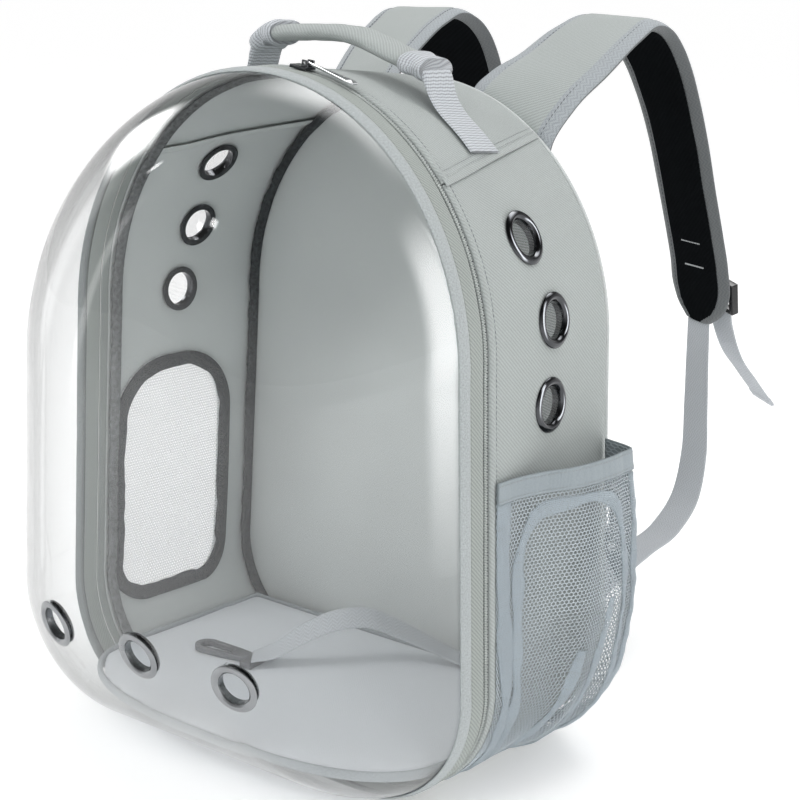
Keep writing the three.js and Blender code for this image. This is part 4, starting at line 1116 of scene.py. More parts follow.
def net_tree() -> Any:
    """Geometry nodes that turn the edges of a flat pattern into strands."""
    def fill(n: Nodes, given: Any) -> Any:
        """Adds the nodes."""
        curve = n.add("GeometryNodeMeshToCurve", {"Mesh": given["Source"]}).outputs[0]
        section = n.add("GeometryNodeCurvePrimitiveCircle", {"Resolution": 3, "Radius": given["Radius"]})
        strands = n.add("GeometryNodeCurveToMesh", {"Curve": curve, "Profile Curve": section.outputs[0],
                                                    "Fill Caps": True})
        return strands.outputs[0]

    return repeat_tree("strands_on_edges", {"Radius": 0.0004}, fill)


def grow(piece: Any, tree: Any, **inputs: Any) -> Any:
    """Runs a geometry tree on a piece with named inputs and keeps the plain mesh."""
    modifier = piece.modifiers.new("repeat", "NODES")
    modifier.node_group = tree
    for item in tree.interface.items_tree:
        if item.in_out == "INPUT" and item.name in inputs:
            modifier[item.identifier] = inputs[item.name]
    finish = inputs["Finish"]
    settle(piece)
    piece.data.materials.clear()
    piece.data.materials.append(finish)
    piece.data.polygons.foreach_set("use_smooth", [True] * len(piece.data.polygons))
    return piece


@dataclass(frozen=True)
class Stitches:
    """A row of stitches: pitch, stitch length and thread width in millimetres."""

    pitch: float = 3.0
    length: float = 2.3
    thread: float = 0.7
    finish: Cloth = THREAD

    def sew(self, name: str, paths: Sequence[Array]) -> Any:
        """Stitches along each path of points."""
        points = np.vstack(paths)
        edges, start = [], 0
        for path in paths:
            edges += [(start + k, start + k + 1) for k in range(len(path) - 1)]
            start += len(path)
        piece = mesh_object(name, points, [], edges=edges)
        return grow(piece, path_tree(), Pitch=self.pitch * MM, Across=self.thread / 2 * MM,
                    Height=self.thread / 2 * MM, Along=self.length / 2 * MM, Side=(0.0, 1.0, 0.0),
                    Finish=self.finish.material())


# Sub-assemblies


@dataclass
class DomeDoor:
    """The clear dome with its ringed air holes, edge piping and fabric band."""

    form: DomeForm = field(default_factory=lambda: DOME)
    steps: int = 256
    depth_steps: int = 56
    hole: float = 10.0
    barrel: float = 11.0
    flange: float = 15.0
    rise: float = 1.8
    vent_spacing: float = 72.0
    vent_height: float = 95.0
    piping_width: float = 8.0
    piping_rise: float = 1.4
    band_width: float = 12.0
    band_thickness: float = 1.4

    @property
    def around(self) -> Array:
        """Outline shares of the door's steps."""
        return np.linspace(0, 1, self.steps, endpoint=False)

    def vent_frames(self) -> list[Matrix]:
        """The three air holes' frames."""
        return [self.form.frame_at(x, self.vent_height) for x in (-self.vent_spacing, 0, self.vent_spacing)]

    def build_dome(self) -> Any:
        """The clear shell, cut for its air holes."""
        form = self.form
        start = math.asin((form.rim / form.reach) ** (form.flatness / 2))
        angle = start + (math.pi / 2 - start) * np.linspace(0, 0.992, self.depth_steps) ** 0.92
        depths = form.reach * np.sin(angle) ** (2 / form.flatness)

        def ring(depth: float, offset: float) -> Array:
            """One ring of the shell."""
            points = form.point(self.around, np.full(self.steps, depth), np.full(self.steps, offset))
            if depth == depths[0]:
                points[:, 1] = BODY.front - form.rim
            return points

        outer = [ring(depth, 0) for depth in depths[::-1]]
        inner = [ring(depth, -form.wall) for depth in depths]
        pole = np.array([0, BODY.front - form.reach, form.centre])
        shell = skin_object("dome", np.array(outer + inner), Cap.POLES, [pole, pole + [0, form.wall, 0]])
        cut_with(shell, [cylinder(place, self.barrel + 0.3, -15, 15) for place in self.vent_frames()])
        return fasten(dress(shell, CLEAR), "clear_plastic", "dome_shell")

    def build_vent_rings(self) -> None:
        """Metal rings round the air holes."""
        low = -(self.form.wall + 3)
        profile = [
            (self.hole, self.rise * 0.35), (self.hole, low), (self.barrel + 2.6, low),
            (self.barrel + 2.6, low + 1),
            (self.barrel, low + 1), (self.barrel, 0.3), (self.flange, 0.3),
            (self.flange - 0.4, self.rise * 0.5),
            (self.flange - 1.6, self.rise * 0.85), (self.barrel + 0.6, self.rise),
        ]
        for index, place in enumerate(self.vent_frames()):
            ring = lathe_object(f"dome_ring_{index + 1}", rounded_profile(profile, 0.35), place)
            fasten(dress(ring, RING_SILVER), "vent_metal", f"dome_vent_ring_{index + 1}")

    def build_piping(self) -> None:
        """The soft bead over the dome's edge."""
        form, around = self.form, np.linspace(0, 1, 900, endpoint=False)
        edge = BODY.front - form.rim
        front = form.rim + self.piping_width
        fuzz = ripple(around * 1300, around * 0, 2.2, 4) * 0.1
        rows = []
        for share in np.linspace(0, 1, 9):
            depth = form.rim + (front - form.rim) * share
            rise = 0.3 + self.piping_rise * math.sin(math.pi * min(0.16 + share * 0.84, 1.0)) ** 0.6
            point = form.point(around, np.full_like(around, depth), rise + fuzz)
            point[:, 1] = np.where(share == 0, edge, point[:, 1])
            rows.append(point)
        floor = form.point(around, np.full_like(around, front - 0.4), np.full_like(around, 0.25))
        heel = form.point(around, np.full_like(around, form.rim), np.full_like(around, 0.3))
        heel[:, 1] = edge
        top = BODY.point(around, edge, 0.1)
        rings = np.stack([heel, top, *rows[1:], floor], 1)
        piping = skin_object("door_edge_piping", rings, Cap.LOOP)
        fasten(dress(piping, PIPING), "piping_cloth", "door_piping")

    def build_band(self) -> None:
        """The twill band between the piping and the zipper."""
        around = np.linspace(0, 1, 640, endpoint=False)
        back = BODY.front - ZIPPER_WIDTH / 2 - BODY.gap
        front = back - self.band_width
        share = np.linspace(0, 1, 13)
        crown = 0.5 * np.sin(math.pi * share) ** 0.5 - 0.35
        y = front + (back - front) * share
        sway = ripple(around[:, None] * 1300, y[None], 26, 8) * 0.15
        outer = BODY.point(around[:, None], y[None], crown[None] + sway)
        inner = BODY.point(around[:, None], y[None, ::-1], np.full((1, 13), -self.band_thickness))
        band = skin_object("door_twill_band", np.concatenate([outer, inner], 1), Cap.LOOP)
        fasten(dress(band, BAND_TWILL), "twill", "door_band")

    def build(self) -> None:
        """Builds the whole door."""
        self.build_dome()
        self.build_vent_rings()
        self.build_piping()
        self.build_band()


@dataclass
class DoorZipper:
    """The closed coil round the door with its slider and pull tab."""

    width: float = ZIPPER_WIDTH
    thickness: float = 2.0
    tooth_pitch: float = 1.5
    tooth_width: float = 2.6
    tooth_height: float = -0.85
    row_shift: float = 0.62

    def build_coil(self) -> None:
        """Tape with the coil's two rows of teeth."""
        around = np.linspace(0, 1, 560, endpoint=False)
        share = np.linspace(-1, 1, 15)
        y = BODY.front + share * self.width / 2
        groove = 0.5 * np.exp(-((np.abs(share) - 0.62) / 0.13) ** 2)
        rise = -1.25 + 0.55 * np.exp(-(share / 0.42) ** 4) - groove
        outer = BODY.point(around[:, None], y[None], rise[None])
        inner = BODY.point(around[:, None], y[None, ::-1], np.full((1, 15), -0.3 - self.thickness))
        tape = skin_object("zipper_tape", np.concatenate([outer, inner], 1), Cap.LOOP)
        fasten(dress(tape, TAPE), "zipper_coil", "zipper_coil")
        half_pitch = self.tooth_pitch / 2 / BODY.length
        for name, shift, start in (("zipper_teeth_front", -self.row_shift, 0.0),
                                   ("zipper_teeth_back", self.row_shift, half_pitch)):
            line = np.linspace(start, start + 1 - half_pitch, 1500)
            path = BODY.point(line, BODY.front + shift, self.tooth_height)
            teeth = mesh_object(name, path, [], edges=[(k, k + 1) for k in range(len(path) - 1)])
            grow(teeth, path_tree(), Pitch=self.tooth_pitch * MM, Across=self.tooth_width / 2 * MM,
                 Height=0.0005,
                 Along=0.0005, Side=(0.0, 1.0, 0.0), Finish=COIL.material())
            fasten(teeth, "zipper_coil")
        rows = [BODY.point(np.linspace(0, 0.9995, 1400), BODY.front + shift, -1.2) for shift in (-2.1, 2.15)]
        holes = Stitches(2.3, 1.2, 0.9, DARK_THREAD).sew("zipper_stitches", rows)
        fasten(holes, "zipper_coil")

    def build_slider(self) -> None:
        """Slider and pull tab."""
        slider = merged_copy("zip_slider", "slider_body", 0.35)
        fasten(dress(slider, GUNMETAL), "bright_metal", "zip_slider")
        tab = merged_copy("zip_puller", "slider_pull_tab", 0.3)
        fasten(dress(tab, BRIGHT), "bright_metal", "zip_puller", body="zip_puller")

    def build(self) -> None:
        """Builds the zipper."""
        self.build_coil()
        self.build_slider()


@dataclass
class FabricBody:
    """The gusset's four panels, the back and their seams."""

    seam_front: float = 116.0
    seam_back: float = 88.0
    front: float = BODY.front + ZIPPER_WIDTH / 2 + BODY.gap
    back_pad: float = 4.0

    def seam_share(self, y: Array) -> Array:
        """Outline share of the seam between the top and a side panel."""
        along = (np.asarray(y, float) - self.front) / (BODY.back - self.front)
        first = BODY.share_at(BODY.arch_height(self.seam_front), BODY.front)
        last = BODY.share_at(BODY.arch_height(self.seam_back * BODY.width / BODY.back_width), BODY.front)
        return first + (last - first) * along

    def panel(self, name: str, rows: int, start: Callable[[Array], Array], end: Callable[[Array], Array],
              fold: tuple[float, float], seed: int) -> Any:
        """One panel of the gusset.

        Args:
            name: Name of the piece.
            rows: Steps round the outline.
            start: Outline share where the panel starts, at each depth.
            end: Outline share where it ends.
            fold: How far its first and last edges are turned over the neighbour, in millimetres.
            seed: Which unevenness.

        Returns:
            The panel.
        """
        y = np.linspace(self.front, BODY.back, 56)[None]
        share = np.linspace(0, 1, rows + 1)[:, None]
        around = start(y) + (end(y) - start(y)) * share
        run = around * BODY.length
        to_first, to_last = run - run[:1], run[-1:] - run
        inset = y - self.front
        lift = 0.35 * ripple(run, y * 1.2, 46, seed) * np.clip(inset / 20, 0, 1)
        lift += 0.22 * ripple(run, y * 0.25, 9, seed + 1) * np.exp(-((inset - 7) / 6) ** 2)
        lift += 0.75 * np.exp(-((inset - 3.2) / 2.2) ** 4) - 0.45 * np.exp(-((inset - 7.2) / 1.4) ** 2)
        lift += 0.3 * ripple(run, y * 0.25, 12, seed + 2) * np.exp(-((BODY.back - y) / 9) ** 2)
        for width, distance in zip(fold, (to_first, to_last)):
            if width > 0:
                lift += 0.8 / (1 + np.exp((distance - width) * 2.2)) * np.clip(distance / 0.8, 0.3, 1)
            elif width < 0:
                lift -= 0.5 * np.exp(-(distance / 2.2) ** 2)
        edge = np.clip(np.minimum(inset / 1.2, (BODY.back - y) / 1.2), 0, 1)
        lift = lift * edge - 0.4 * (1 - edge)
        outer = BODY.point(around, y, lift)
        inner = BODY.point(around, y, np.minimum(lift, 0.5) - BODY.cloth)
        panel = wall_object(name, outer, inner)
        dress(panel, GREY_TWILL, INNER_CLOTH)
        self.line_inside(panel, rows, 56)
        return panel

    def line_inside(self, panel: Any, rows: int, columns: int) -> None:
        """Gives a panel's inner face its lining."""
        size = 2 * columns
        index = np.zeros(len(panel.data.polygons), np.int32)
        grid = np.arange(rows * size)
        index[: rows * size] = np.where((grid % size >= columns - 1) & (grid % size < size - 1), 1, 0)
        panel.data.polygons.foreach_set("material_index", index)

    def build_sides(self, vents: dict[str, list[Matrix]], barrel: float, window: Any) -> None:
        """Both side panels, cut for their air holes and the window."""
        half_gap = BODY.gap / BODY.length
        for side in ("right", "left"):
            def turned(share: Array, side: str = side) -> Array:
                """The share on this side."""
                return 1 - share if side == "left" else share

            panel = self.panel(f"side_cloth_{side}", 200,
                               lambda y: turned(BODY.base_share + half_gap + 0 * y),
                               lambda y: turned(self.seam_share(y) - half_gap), (0, -1),
                               11 if side == "left" else 21)
            cutters = [cylinder(place, barrel + 0.3, -15, 15) for place in vents[side]]
            cut_with(panel, cutters + ([window] if side == "left" else []))
            fasten(panel, "twill", f"side_panel_{side}")

    def build_top_and_base(self) -> None:
        """Top panel with its turned edges, and the base."""
        half_gap = BODY.gap / BODY.length
        top = self.panel("top_cloth", 150, lambda y: self.seam_share(y) + half_gap,
                         lambda y: 1 - self.seam_share(y) - half_gap, (7, 7), 31)
        fasten(top, "twill", "top_panel")
        y = np.linspace(self.front, BODY.back, 30)[None]
        around = np.linspace(-BODY.base_share, BODY.base_share, 60)[:, None]
        base = wall_object("base_cloth", BODY.point(around, y, 0), BODY.point(around, y, -BODY.cloth))
        fasten(dress(base, GREY_TWILL), "twill", "base_panel")

    def build_seams(self) -> None:
        """Stitch rows of the top seams and along the zipper."""
        y = np.linspace(self.front + 1, BODY.back - 1, 120)
        rows = []
        for inset in (3.4, 6.6):
            share = self.seam_share(y) + inset / BODY.length
            for mirrored in (share, 1 - share):
                rows.append(BODY.point(mirrored, y, 0.85))
        fasten(Stitches(2.9, 2.3, 0.5).sew("top_seam_stitches", rows), "twill")
        for side in ("right", "left"):
            share = self.seam_share(y)[None] + np.linspace(-2.4, 2.4, 7)[:, None] / BODY.length
            share = share if side == "right" else 1 - share[::-1]
            hill = 0.4 * (1 - (np.linspace(-1, 1, 7)[:, None]) ** 2)
            tape = wall_object(f"top_seam_tape_{side}", BODY.point(share, y[None], 0.95 + hill),
                               BODY.point(share, y[None], 0.5 + hill))
            fasten(dress(tape, GREY_TWILL), "twill")
            inside = -BODY.cloth - BODY.gap - 1.35
            cover = wall_object(f"top_seam_cover_{side}", BODY.point(share, y[None], inside - 0.1),
                                BODY.point(share, y[None], inside - 0.6))
            fasten(dress(cover, INNER_CLOTH), "twill")
        around = np.linspace(0, 0.9995, 1200)
        line = [BODY.point(around, self.front + 7.2, -0.2)]
        fasten(Stitches(3.0, 2.3, 0.5).sew("zipper_seam_stitches", line), "twill")

    def build_back(self) -> None:
        """The padded back and the bound seam inside its edge."""
        around = np.linspace(0, 1, 256, endpoint=False)
        front = BODY.back + BODY.gap
        rim = BODY.point(around, BODY.back, -0.2)
        middle = np.array([0, 0, BODY.back_height / 2])

        def ring(scale: float, y: float) -> Array:
            """The outline shrunk about its middle and moved to a depth."""
            points = middle + (rim - middle) * scale
            points[:, 1] = y
            return points

        scales = np.linspace(0.04, 0.97, 34)
        inner = [ring(s, front) for s in scales]
        outer = [ring(s, front + self.back_pad - 0.9 + 0.8 * (1 - s**6)) for s in scales[::-1]]
        edge = [ring(0.99, front + 0.1), ring(1, front + 0.7), ring(1, front + self.back_pad - 1.6),
                ring(0.99, front + self.back_pad - 0.9)]
        rings = np.array(inner + edge + outer)
        on_face = np.r_[np.ones(len(inner)), np.zeros(len(edge)), np.ones(len(outer))][:, None]
        rings[:, :, 1] += 0.1 * ripple(rings[..., 0], rings[..., 2], 60, 5) * on_face
        poles = [[0, front, middle[2]], [0, front + self.back_pad - 0.1, middle[2]]]
        back = skin_object("back_cloth", rings, Cap.POLES, poles, uv=rings[..., [0, 2]] * MM)
        fasten(dress(back, INNER_CLOTH), "twill", "back_panel")

        self.build_binding("back_seam_binding", BODY.back - 3.4, 3.8, 2.2, 3, DARK_BINDING, "seam_binding")
        self.build_binding("door_seam_binding", self.front + 4.6, 4.0, 1.6, 13, SOFT_BINDING)

    def build_binding(self, name: str, depth: float, half: float, swell: float, seed: int, finish: Cloth,
                      *nodes: str) -> None:
        """A fuzzy bound seam inside the body.

        Args:
            name: Name of the piece.
            depth: Its middle along the body's depth.
            half: Half its width.
            swell: Half its thickness.
            seed: Which unevenness.
            finish: Its cloth.
            nodes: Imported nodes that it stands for.
        """
        line = np.linspace(0, 1, 900, endpoint=False)
        turn = np.linspace(0, math.tau, 12, endpoint=False)
        fuzz = 0.35 * ripple(line * 1300, line * 0, 3.0, seed) + 0.45 * ripple(line * 1300, line * 0, 17,
                                                                               seed + 1)
        off = -BODY.cloth - BODY.gap - 1.3 - swell
        round_across = np.sign(np.cos(turn)) * np.abs(np.cos(turn)) ** 0.7
        round_up = np.sign(np.sin(turn)) * np.abs(np.sin(turn)) ** 0.7
        y = depth + (half + np.minimum(fuzz[:, None], 0.2)) * round_across[None]
        rings = BODY.point(line[:, None], y, off + swell * round_up[None] + np.minimum(fuzz, 0.4)[:,
                                                                                                  None] * 0.6)
        binding = skin_object(name, rings, Cap.LOOP)
        fasten(dress(binding, finish), "binding_cloth", *nodes)


@dataclass
class SideVents:
    """Three meshed rings on each side."""

    hole: float = 11.0
    barrel: float = 12.4
    flange: float = 16.5
    rise: float = 2.6
    net: float = 0.6
    places: dict[str, tuple[tuple[float, float], ...]] = field(default_factory=lambda: {
        "right": ((0.785, -0.065), (0.672, 0.035), (0.556, 0.0)),
        "left": ((0.838, 0.02), (0.731, 0.04), (0.626, -0.03)),
    })

    def frames(self, side: str) -> list[Matrix]:
        """Frames of one side's air holes."""
        out = []
        for height, depth in self.places[side]:
            y = depth * BODY.depth
            share = float(BODY.share_at(height * BODY.height, y))
            out.append(BODY.side_frame(1 - share if side == "left" else share, y))
        return out

    def build(self) -> None:
        """Rings and their net."""
        low = -(BODY.cloth + 3)
        profile = [
            (self.hole, self.rise * 0.3), (self.hole, low), (self.barrel + 2.6, low),
            (self.barrel + 2.6, low + 1),
            (self.barrel, low + 1), (self.barrel, 0.3), (self.flange, 0.3),
            (self.flange - 0.2, self.rise * 0.4),
            (self.flange - 1.4, self.rise * 0.8), (self.flange - 3, self.rise),
            (self.barrel - 0.2, self.rise * 0.8),
        ]
        for side in ("right", "left"):
            for index, place in enumerate(self.frames(side)):
                ring = lathe_object(f"side_ring_{side}_{index + 1}", rounded_profile(profile, 0.5), place)
                fasten(dress(ring, GUNMETAL), "vent_metal", f"side_vent_ring_{side}_{index + 1}")
                self.build_net(side, index, place)

    def build_net(self, side: str, index: int, place: Matrix) -> None:
        """The net disc of one air hole."""
        turn = np.linspace(0, math.tau, 48, endpoint=False)[None]
        radii = np.linspace(0.4, self.hole - 0.6, 8)[:, None]
        crown = 0.15 * (1 - (radii / self.hole) ** 2) - 0.7
        top = np.stack([np.cos(turn) * radii, np.sin(turn) * radii, crown + 0 * turn], -1)
        rings = np.concatenate([top, top[::-1] - [0, 0, self.net]], 0)
        poles = placed([[0, 0, -0.55], [0, 0, -0.55 - self.net]], place)
        disc = skin_object(f"side_net_{side}_{index + 1}", placed(rings, place), Cap.POLES, poles,
                           uv=rings[..., :2] * MM)
        # The left vents take the lighter net colour: painted backlight.
        net = LIT_OPEN_NET if side == "left" else VENT_NET
        fasten(dress(disc, net), "vent_net", f"side_vent_mesh_{side}_{index + 1}")


@dataclass
class SideWindow:
    """The arched net window in the left wall with its dark binding."""

    width: float = 90.0
    sill: float = 54.0
    height: float = 158.0
    middle: float = -8.0
    foot_radius: float = 22.0
    head_radius: float = 38.0
    lap: float = 7.0
    net: float = 0.8
    binding: float = 2.5

    def loop(self, widen: float) -> Array:
        """The opening's outline in depth and height, moved outwards."""
        half = self.width / 2 + widen
        foot, head = -widen, self.height + widen
        low, high = self.foot_radius + widen, self.head_radius + widen

        def arc(x: float, z: float, radius: float, start: float) -> Array:
            """A quarter of a circle."""
            turn = np.radians(np.linspace(start, start + 90, 24))
            return np.column_stack([x + radius * np.cos(turn), z + radius * np.sin(turn)])

        points = np.vstack([arc(half - low, foot + low, low, -90), arc(half - high, head - high, high, 0),
                            arc(-half + high, head - high, high, 90), arc(-half + low, foot + low, low, 180)])
        closed = np.vstack([points, points[:1]])
        run = run_of(closed)
        at = np.linspace(0, run[-1], 180, endpoint=False)
        return np.column_stack([np.interp(at, run, closed[:, c]) for c in (0, 1)])

    def wall_point(self, flat: Array, offset: Array) -> Array:
        """Points on the left wall from depth and height."""
        return BODY.point(1 - BODY.share_at(flat[..., 1], flat[..., 0]), flat[..., 0], offset)

    def ring(self, widen: float, scale: float) -> Array:
        """The loop, shrunk about its middle, in depth and height on the wall."""
        half = self.height / 2
        points = self.loop(widen)
        return np.column_stack([self.middle + points[:, 0] * scale,
                                self.sill + half + (points[:, 1] - half) * scale])

    def cutter(self) -> Any:
        """The body that cuts the window out of the wall."""
        flats = np.array([self.ring(0, s) for s in (0.05, 0.5, 1.0)])
        rings = np.concatenate([self.wall_point(flats, 12.0), self.wall_point(flats[::-1], -12.0)], 0)
        centre = np.array([self.middle, self.sill + self.height / 2])
        return skin_object("window_plug", rings, Cap.POLES,
                           [self.wall_point(centre, 12.0), self.wall_point(centre, -12.0)])

    def build(self) -> None:
        """Net and binding."""
        out = BODY.cloth + BODY.gap + 0.65
        scales = np.linspace(0.04, 1, 26)
        flats = np.array([self.ring(-1, s) for s in scales] + [self.ring(w, 1) for w in (2, self.lap)])
        sag = 0.5 * ripple(flats[..., 0], flats[..., 1], 28, 14)
        rings = np.concatenate([self.wall_point(flats, -out + 0 * sag),
                                self.wall_point(flats[::-1], -out - self.net)], 0)
        uv = np.concatenate([flats, flats[::-1]], 0) * MM
        centre = np.array([self.middle, self.sill + self.height / 2])
        net = skin_object("window_net_sheet", rings, Cap.POLES,
                          [self.wall_point(centre, -out), self.wall_point(centre, -out - self.net)], uv=uv)
        fasten(dress(net, WINDOW_NET), "window_net", "window_mesh")
        start = out + self.net + BODY.seat
        share = np.linspace(0, 1, 12)
        widen = -2.6 + (self.lap + 2.6) * share
        rise = self.binding * np.sin(math.pi * np.clip(share * 0.86 + 0.07, 0, 1)) ** 0.5
        line = np.arange(180)
        fuzz = 0.3 * ripple(line * 2.6, line * 0.0, 3.4, 9)
        wave = 1.1 * ripple(line * 2.6, line * 0.0, 26, 10)[:, None] + 0.5 * ripple(line * 2.6, line * 0.0,
                                                                                    9, 12)[:, None]

        def edge(widening: float) -> Array:
            """The loop with its inner side a little wavy."""
            return self.ring(widening, 1) + wave * np.clip((self.lap - widening) / self.lap, 0, 1)

        upper = [self.wall_point(edge(w), -start - r - fuzz * (0.2 < s < 0.9)) for w, r,
                 s in zip(widen, rise, share)]
        lower = [self.wall_point(edge(w), -start) for w in (widen[-1], widen[0])]
        rings = np.stack(upper + lower, 1)
        binding = skin_object("window_edge_binding", rings, Cap.LOOP)
        fasten(dress(binding, DARK_BINDING), "binding_cloth", "window_binding")


@dataclass
class BottlePocket:
    """The net pocket on the right wall with its hem and folded edges."""

    top: float = 200.0
    foot: float = 12.0
    front: float = -60.0
    back: float = 64.0
    bulge: float = 31.0
    hem_height: float = 12.0
    pleats: int = 4
    pleat_depth: float = 2.2
    cell: float = 2.42
    strand: float = 0.42
    fold_rise: float = 1.0
    fold_thickness: float = 0.4
    least_width: float = 10.4
    folds: tuple = (
        (6.0, ((0.05, 0.06), (0.05, 0.3), (0.07, 0.55), (0.1, 0.8), (0.15, 0.99))),
        (3.6, ((0.2, 0.99), (0.16, 0.7), (0.15, 0.4), (0.18, 0.2), (0.26, 0.12), (0.42, 0.1), (0.58, 0.1),
               (0.7, 0.13),
               (0.77, 0.25), (0.79, 0.45), (0.76, 0.7), (0.7, 0.98))),
        (7.5, ((0.93, 0.07), (0.92, 0.4), (0.9, 0.7), (0.87, 0.98))),
        (3.2, ((0.3, 0.99), (0.38, 0.82), (0.46, 0.66), (0.5, 0.56))),
        (3.2, ((0.5, 0.99), (0.57, 0.78), (0.64, 0.58), (0.68, 0.42))),
    )
    along_table: tuple = ((0, 0), (0.15, 0.08), (0.3, 0.34), (0.45, 0.72), (0.6, 0.92), (0.8, 1),
                          (0.93, 0.84), (1, 0))
    down_table: tuple = ((0, 0.78), (0.2, 0.96), (0.4, 1), (0.6, 0.86), (0.75, 0.6), (0.88, 0.34), (1, 0))

    def swell(self, along: Array, down: Array) -> Array:
        """How far the net stands off the wall."""
        def read(table: tuple, at: Array) -> Array:
            """The table's swell at a share."""
            knots, values = zip(*table)
            return np.clip(spline(knots, np.array(values), at.ravel()).reshape(at.shape), 0, 1.02)

        full = self.bulge * read(self.down_table, down)
        fold = self.pleat_depth * down * (1 - np.cos(math.tau * self.pleats * along))
        folded = np.maximum(full - fold, 0) * read(self.along_table, along)
        loose = 0.9 * ripple(along * 124, down * 190, 34,
                             17) * np.sin(math.pi * along) * np.sin(math.pi * down)
        return BODY.seat + np.maximum(folded + loose * np.minimum(folded, 1), 0)

    def point(self, along: Array, down: Array, offset: Array = 0.0) -> Array:
        """Points on the pocket's net."""
        along, down = np.broadcast_arrays(np.asarray(along, float), np.asarray(down, float))
        y = self.front + (self.back - self.front) * along
        top, foot = BODY.share_at(self.top, y), BODY.share_at(self.foot, y)
        return BODY.point(top + (foot - top) * down, y, self.swell(along, down) + offset)

    @property
    def girth(self) -> float:
        """Length of the pocket down the wall."""
        return float(BODY.share_at(self.top, 0) - BODY.share_at(self.foot, 0)) * BODY.length

    def build_net(self) -> None:
        """A net of six-sided cells."""
        wide, tall = (self.back - self.front), self.girth
        rows, columns = int(tall / (self.cell * 0.866)), int(wide / self.cell)
        points, number, edges = [], {}, set()

        def corner(x: float, z: float) -> int:
            """Number of the point at this place."""
            key = (round(x, 2), round(z, 2))
            if key not in number:
                number[key] = len(points)
                points.append((x, z))
            return number[key]

        radius = self.cell / math.sqrt(3)
        for row in range(1, rows):
            for column in range(columns):
                x = (column + 0.5 * (row % 2) + 0.5) * wide / (columns + 0.5)
                z = row * tall / rows
                ring = []
                for k in range(6):
                    turn = math.pi / 6 + k * math.pi / 3
                    ring.append(corner(min(max(x + radius * math.cos(turn), 0.5), wide - 0.5),
                                       min(max(z + radius * math.sin(turn), 1), tall - 0.5)))
                edges.update((min(a, b), max(a, b)) for a, b in zip(ring, ring[1:] + ring[:1]) if a != b)
        flat = np.array(points)
        place = self.point(flat[:, 0] / wide, flat[:, 1] / tall, 0.4)
        net = mesh_object("pocket_net", place, [], edges=sorted(edges))
        grow(net, net_tree(), Radius=self.strand * MM, Finish=POCKET_STRAND.material())
        fasten(net, "pocket_net", "pocket_mesh")

    def build_hem(self) -> None:
        """The elastic hem and its stitches."""
        along = np.linspace(0, 1, 120)[:, None]
        down = np.linspace(-0.002, self.hem_height / self.girth, 14)[None]
        gather = 0.35 * ripple(along * 124, down * 0 + 1, 4.0, 6) * np.sin(math.pi * along) ** 0.5
        outer = self.point(along, down, 2.6 + gather + 0 * down)
        inner = self.point(along, down, 0.9 + gather + 0 * down)
        hem = wall_object("pocket_hem_tape", outer, inner)
        fasten(dress(hem, HEM), "hem_tape", "pocket_hem")
        foot = self.hem_height / self.girth
        line = np.linspace(0.01, 0.99, 160)
        rows = [self.point(line, np.full_like(line, foot * s), 2.75) for s in (0.12, 0.85)]
        fasten(Stitches(2.6, 1.9, 0.45).sew("pocket_hem_stitches", rows), "hem_tape")

    def build_folds(self) -> None:
        """Bands where the net lies double, gathered towards the foot."""
        for index, (half, route) in enumerate(self.folds):
            at = np.array(route, float)
            size = [self.back - self.front, self.girth]
            run = run_of(at * size)
            flat = spline(run, at, np.linspace(0, run[-1], int(run[-1] / 1.5))) * size
            flow = unit(np.gradient(flat, axis=0))
            share = np.linspace(-1, 1, 11)
            wander = 1 + 0.35 * ripple(np.arange(len(flat)) * 1.5, flat[:, 0] * 0, 22, 50 + index)
            sideways = np.stack([-flow[:, 1], flow[:, 0]], -1)[:, None]
            laid = flat[:, None] + sideways * (half * wander)[:, None, None] * share[None, :, None]
            along = np.clip(laid[..., 0] / size[0], 0.004, 0.996)
            down = np.clip(laid[..., 1] / size[1], 0.035, 0.997)
            rise = 1.1 + self.fold_rise * np.cos(share * math.pi / 2)[None] ** 0.8 + 0 * along
            rise += 0.35 * ripple(laid[..., 0], laid[..., 1], 7, 60 + index)
            fold = wall_object(f"pocket_fold_{index + 1}", self.point(along, down, rise),
                               self.point(along, down, rise - self.fold_thickness))
            fasten(dress(fold, FOLD_NET), "pocket_net")
            width = max(half * 2.6, self.least_width)

    def build(self) -> None:
        """Builds the pocket."""
        self.build_net()
        self.build_hem()
        self.build_folds()


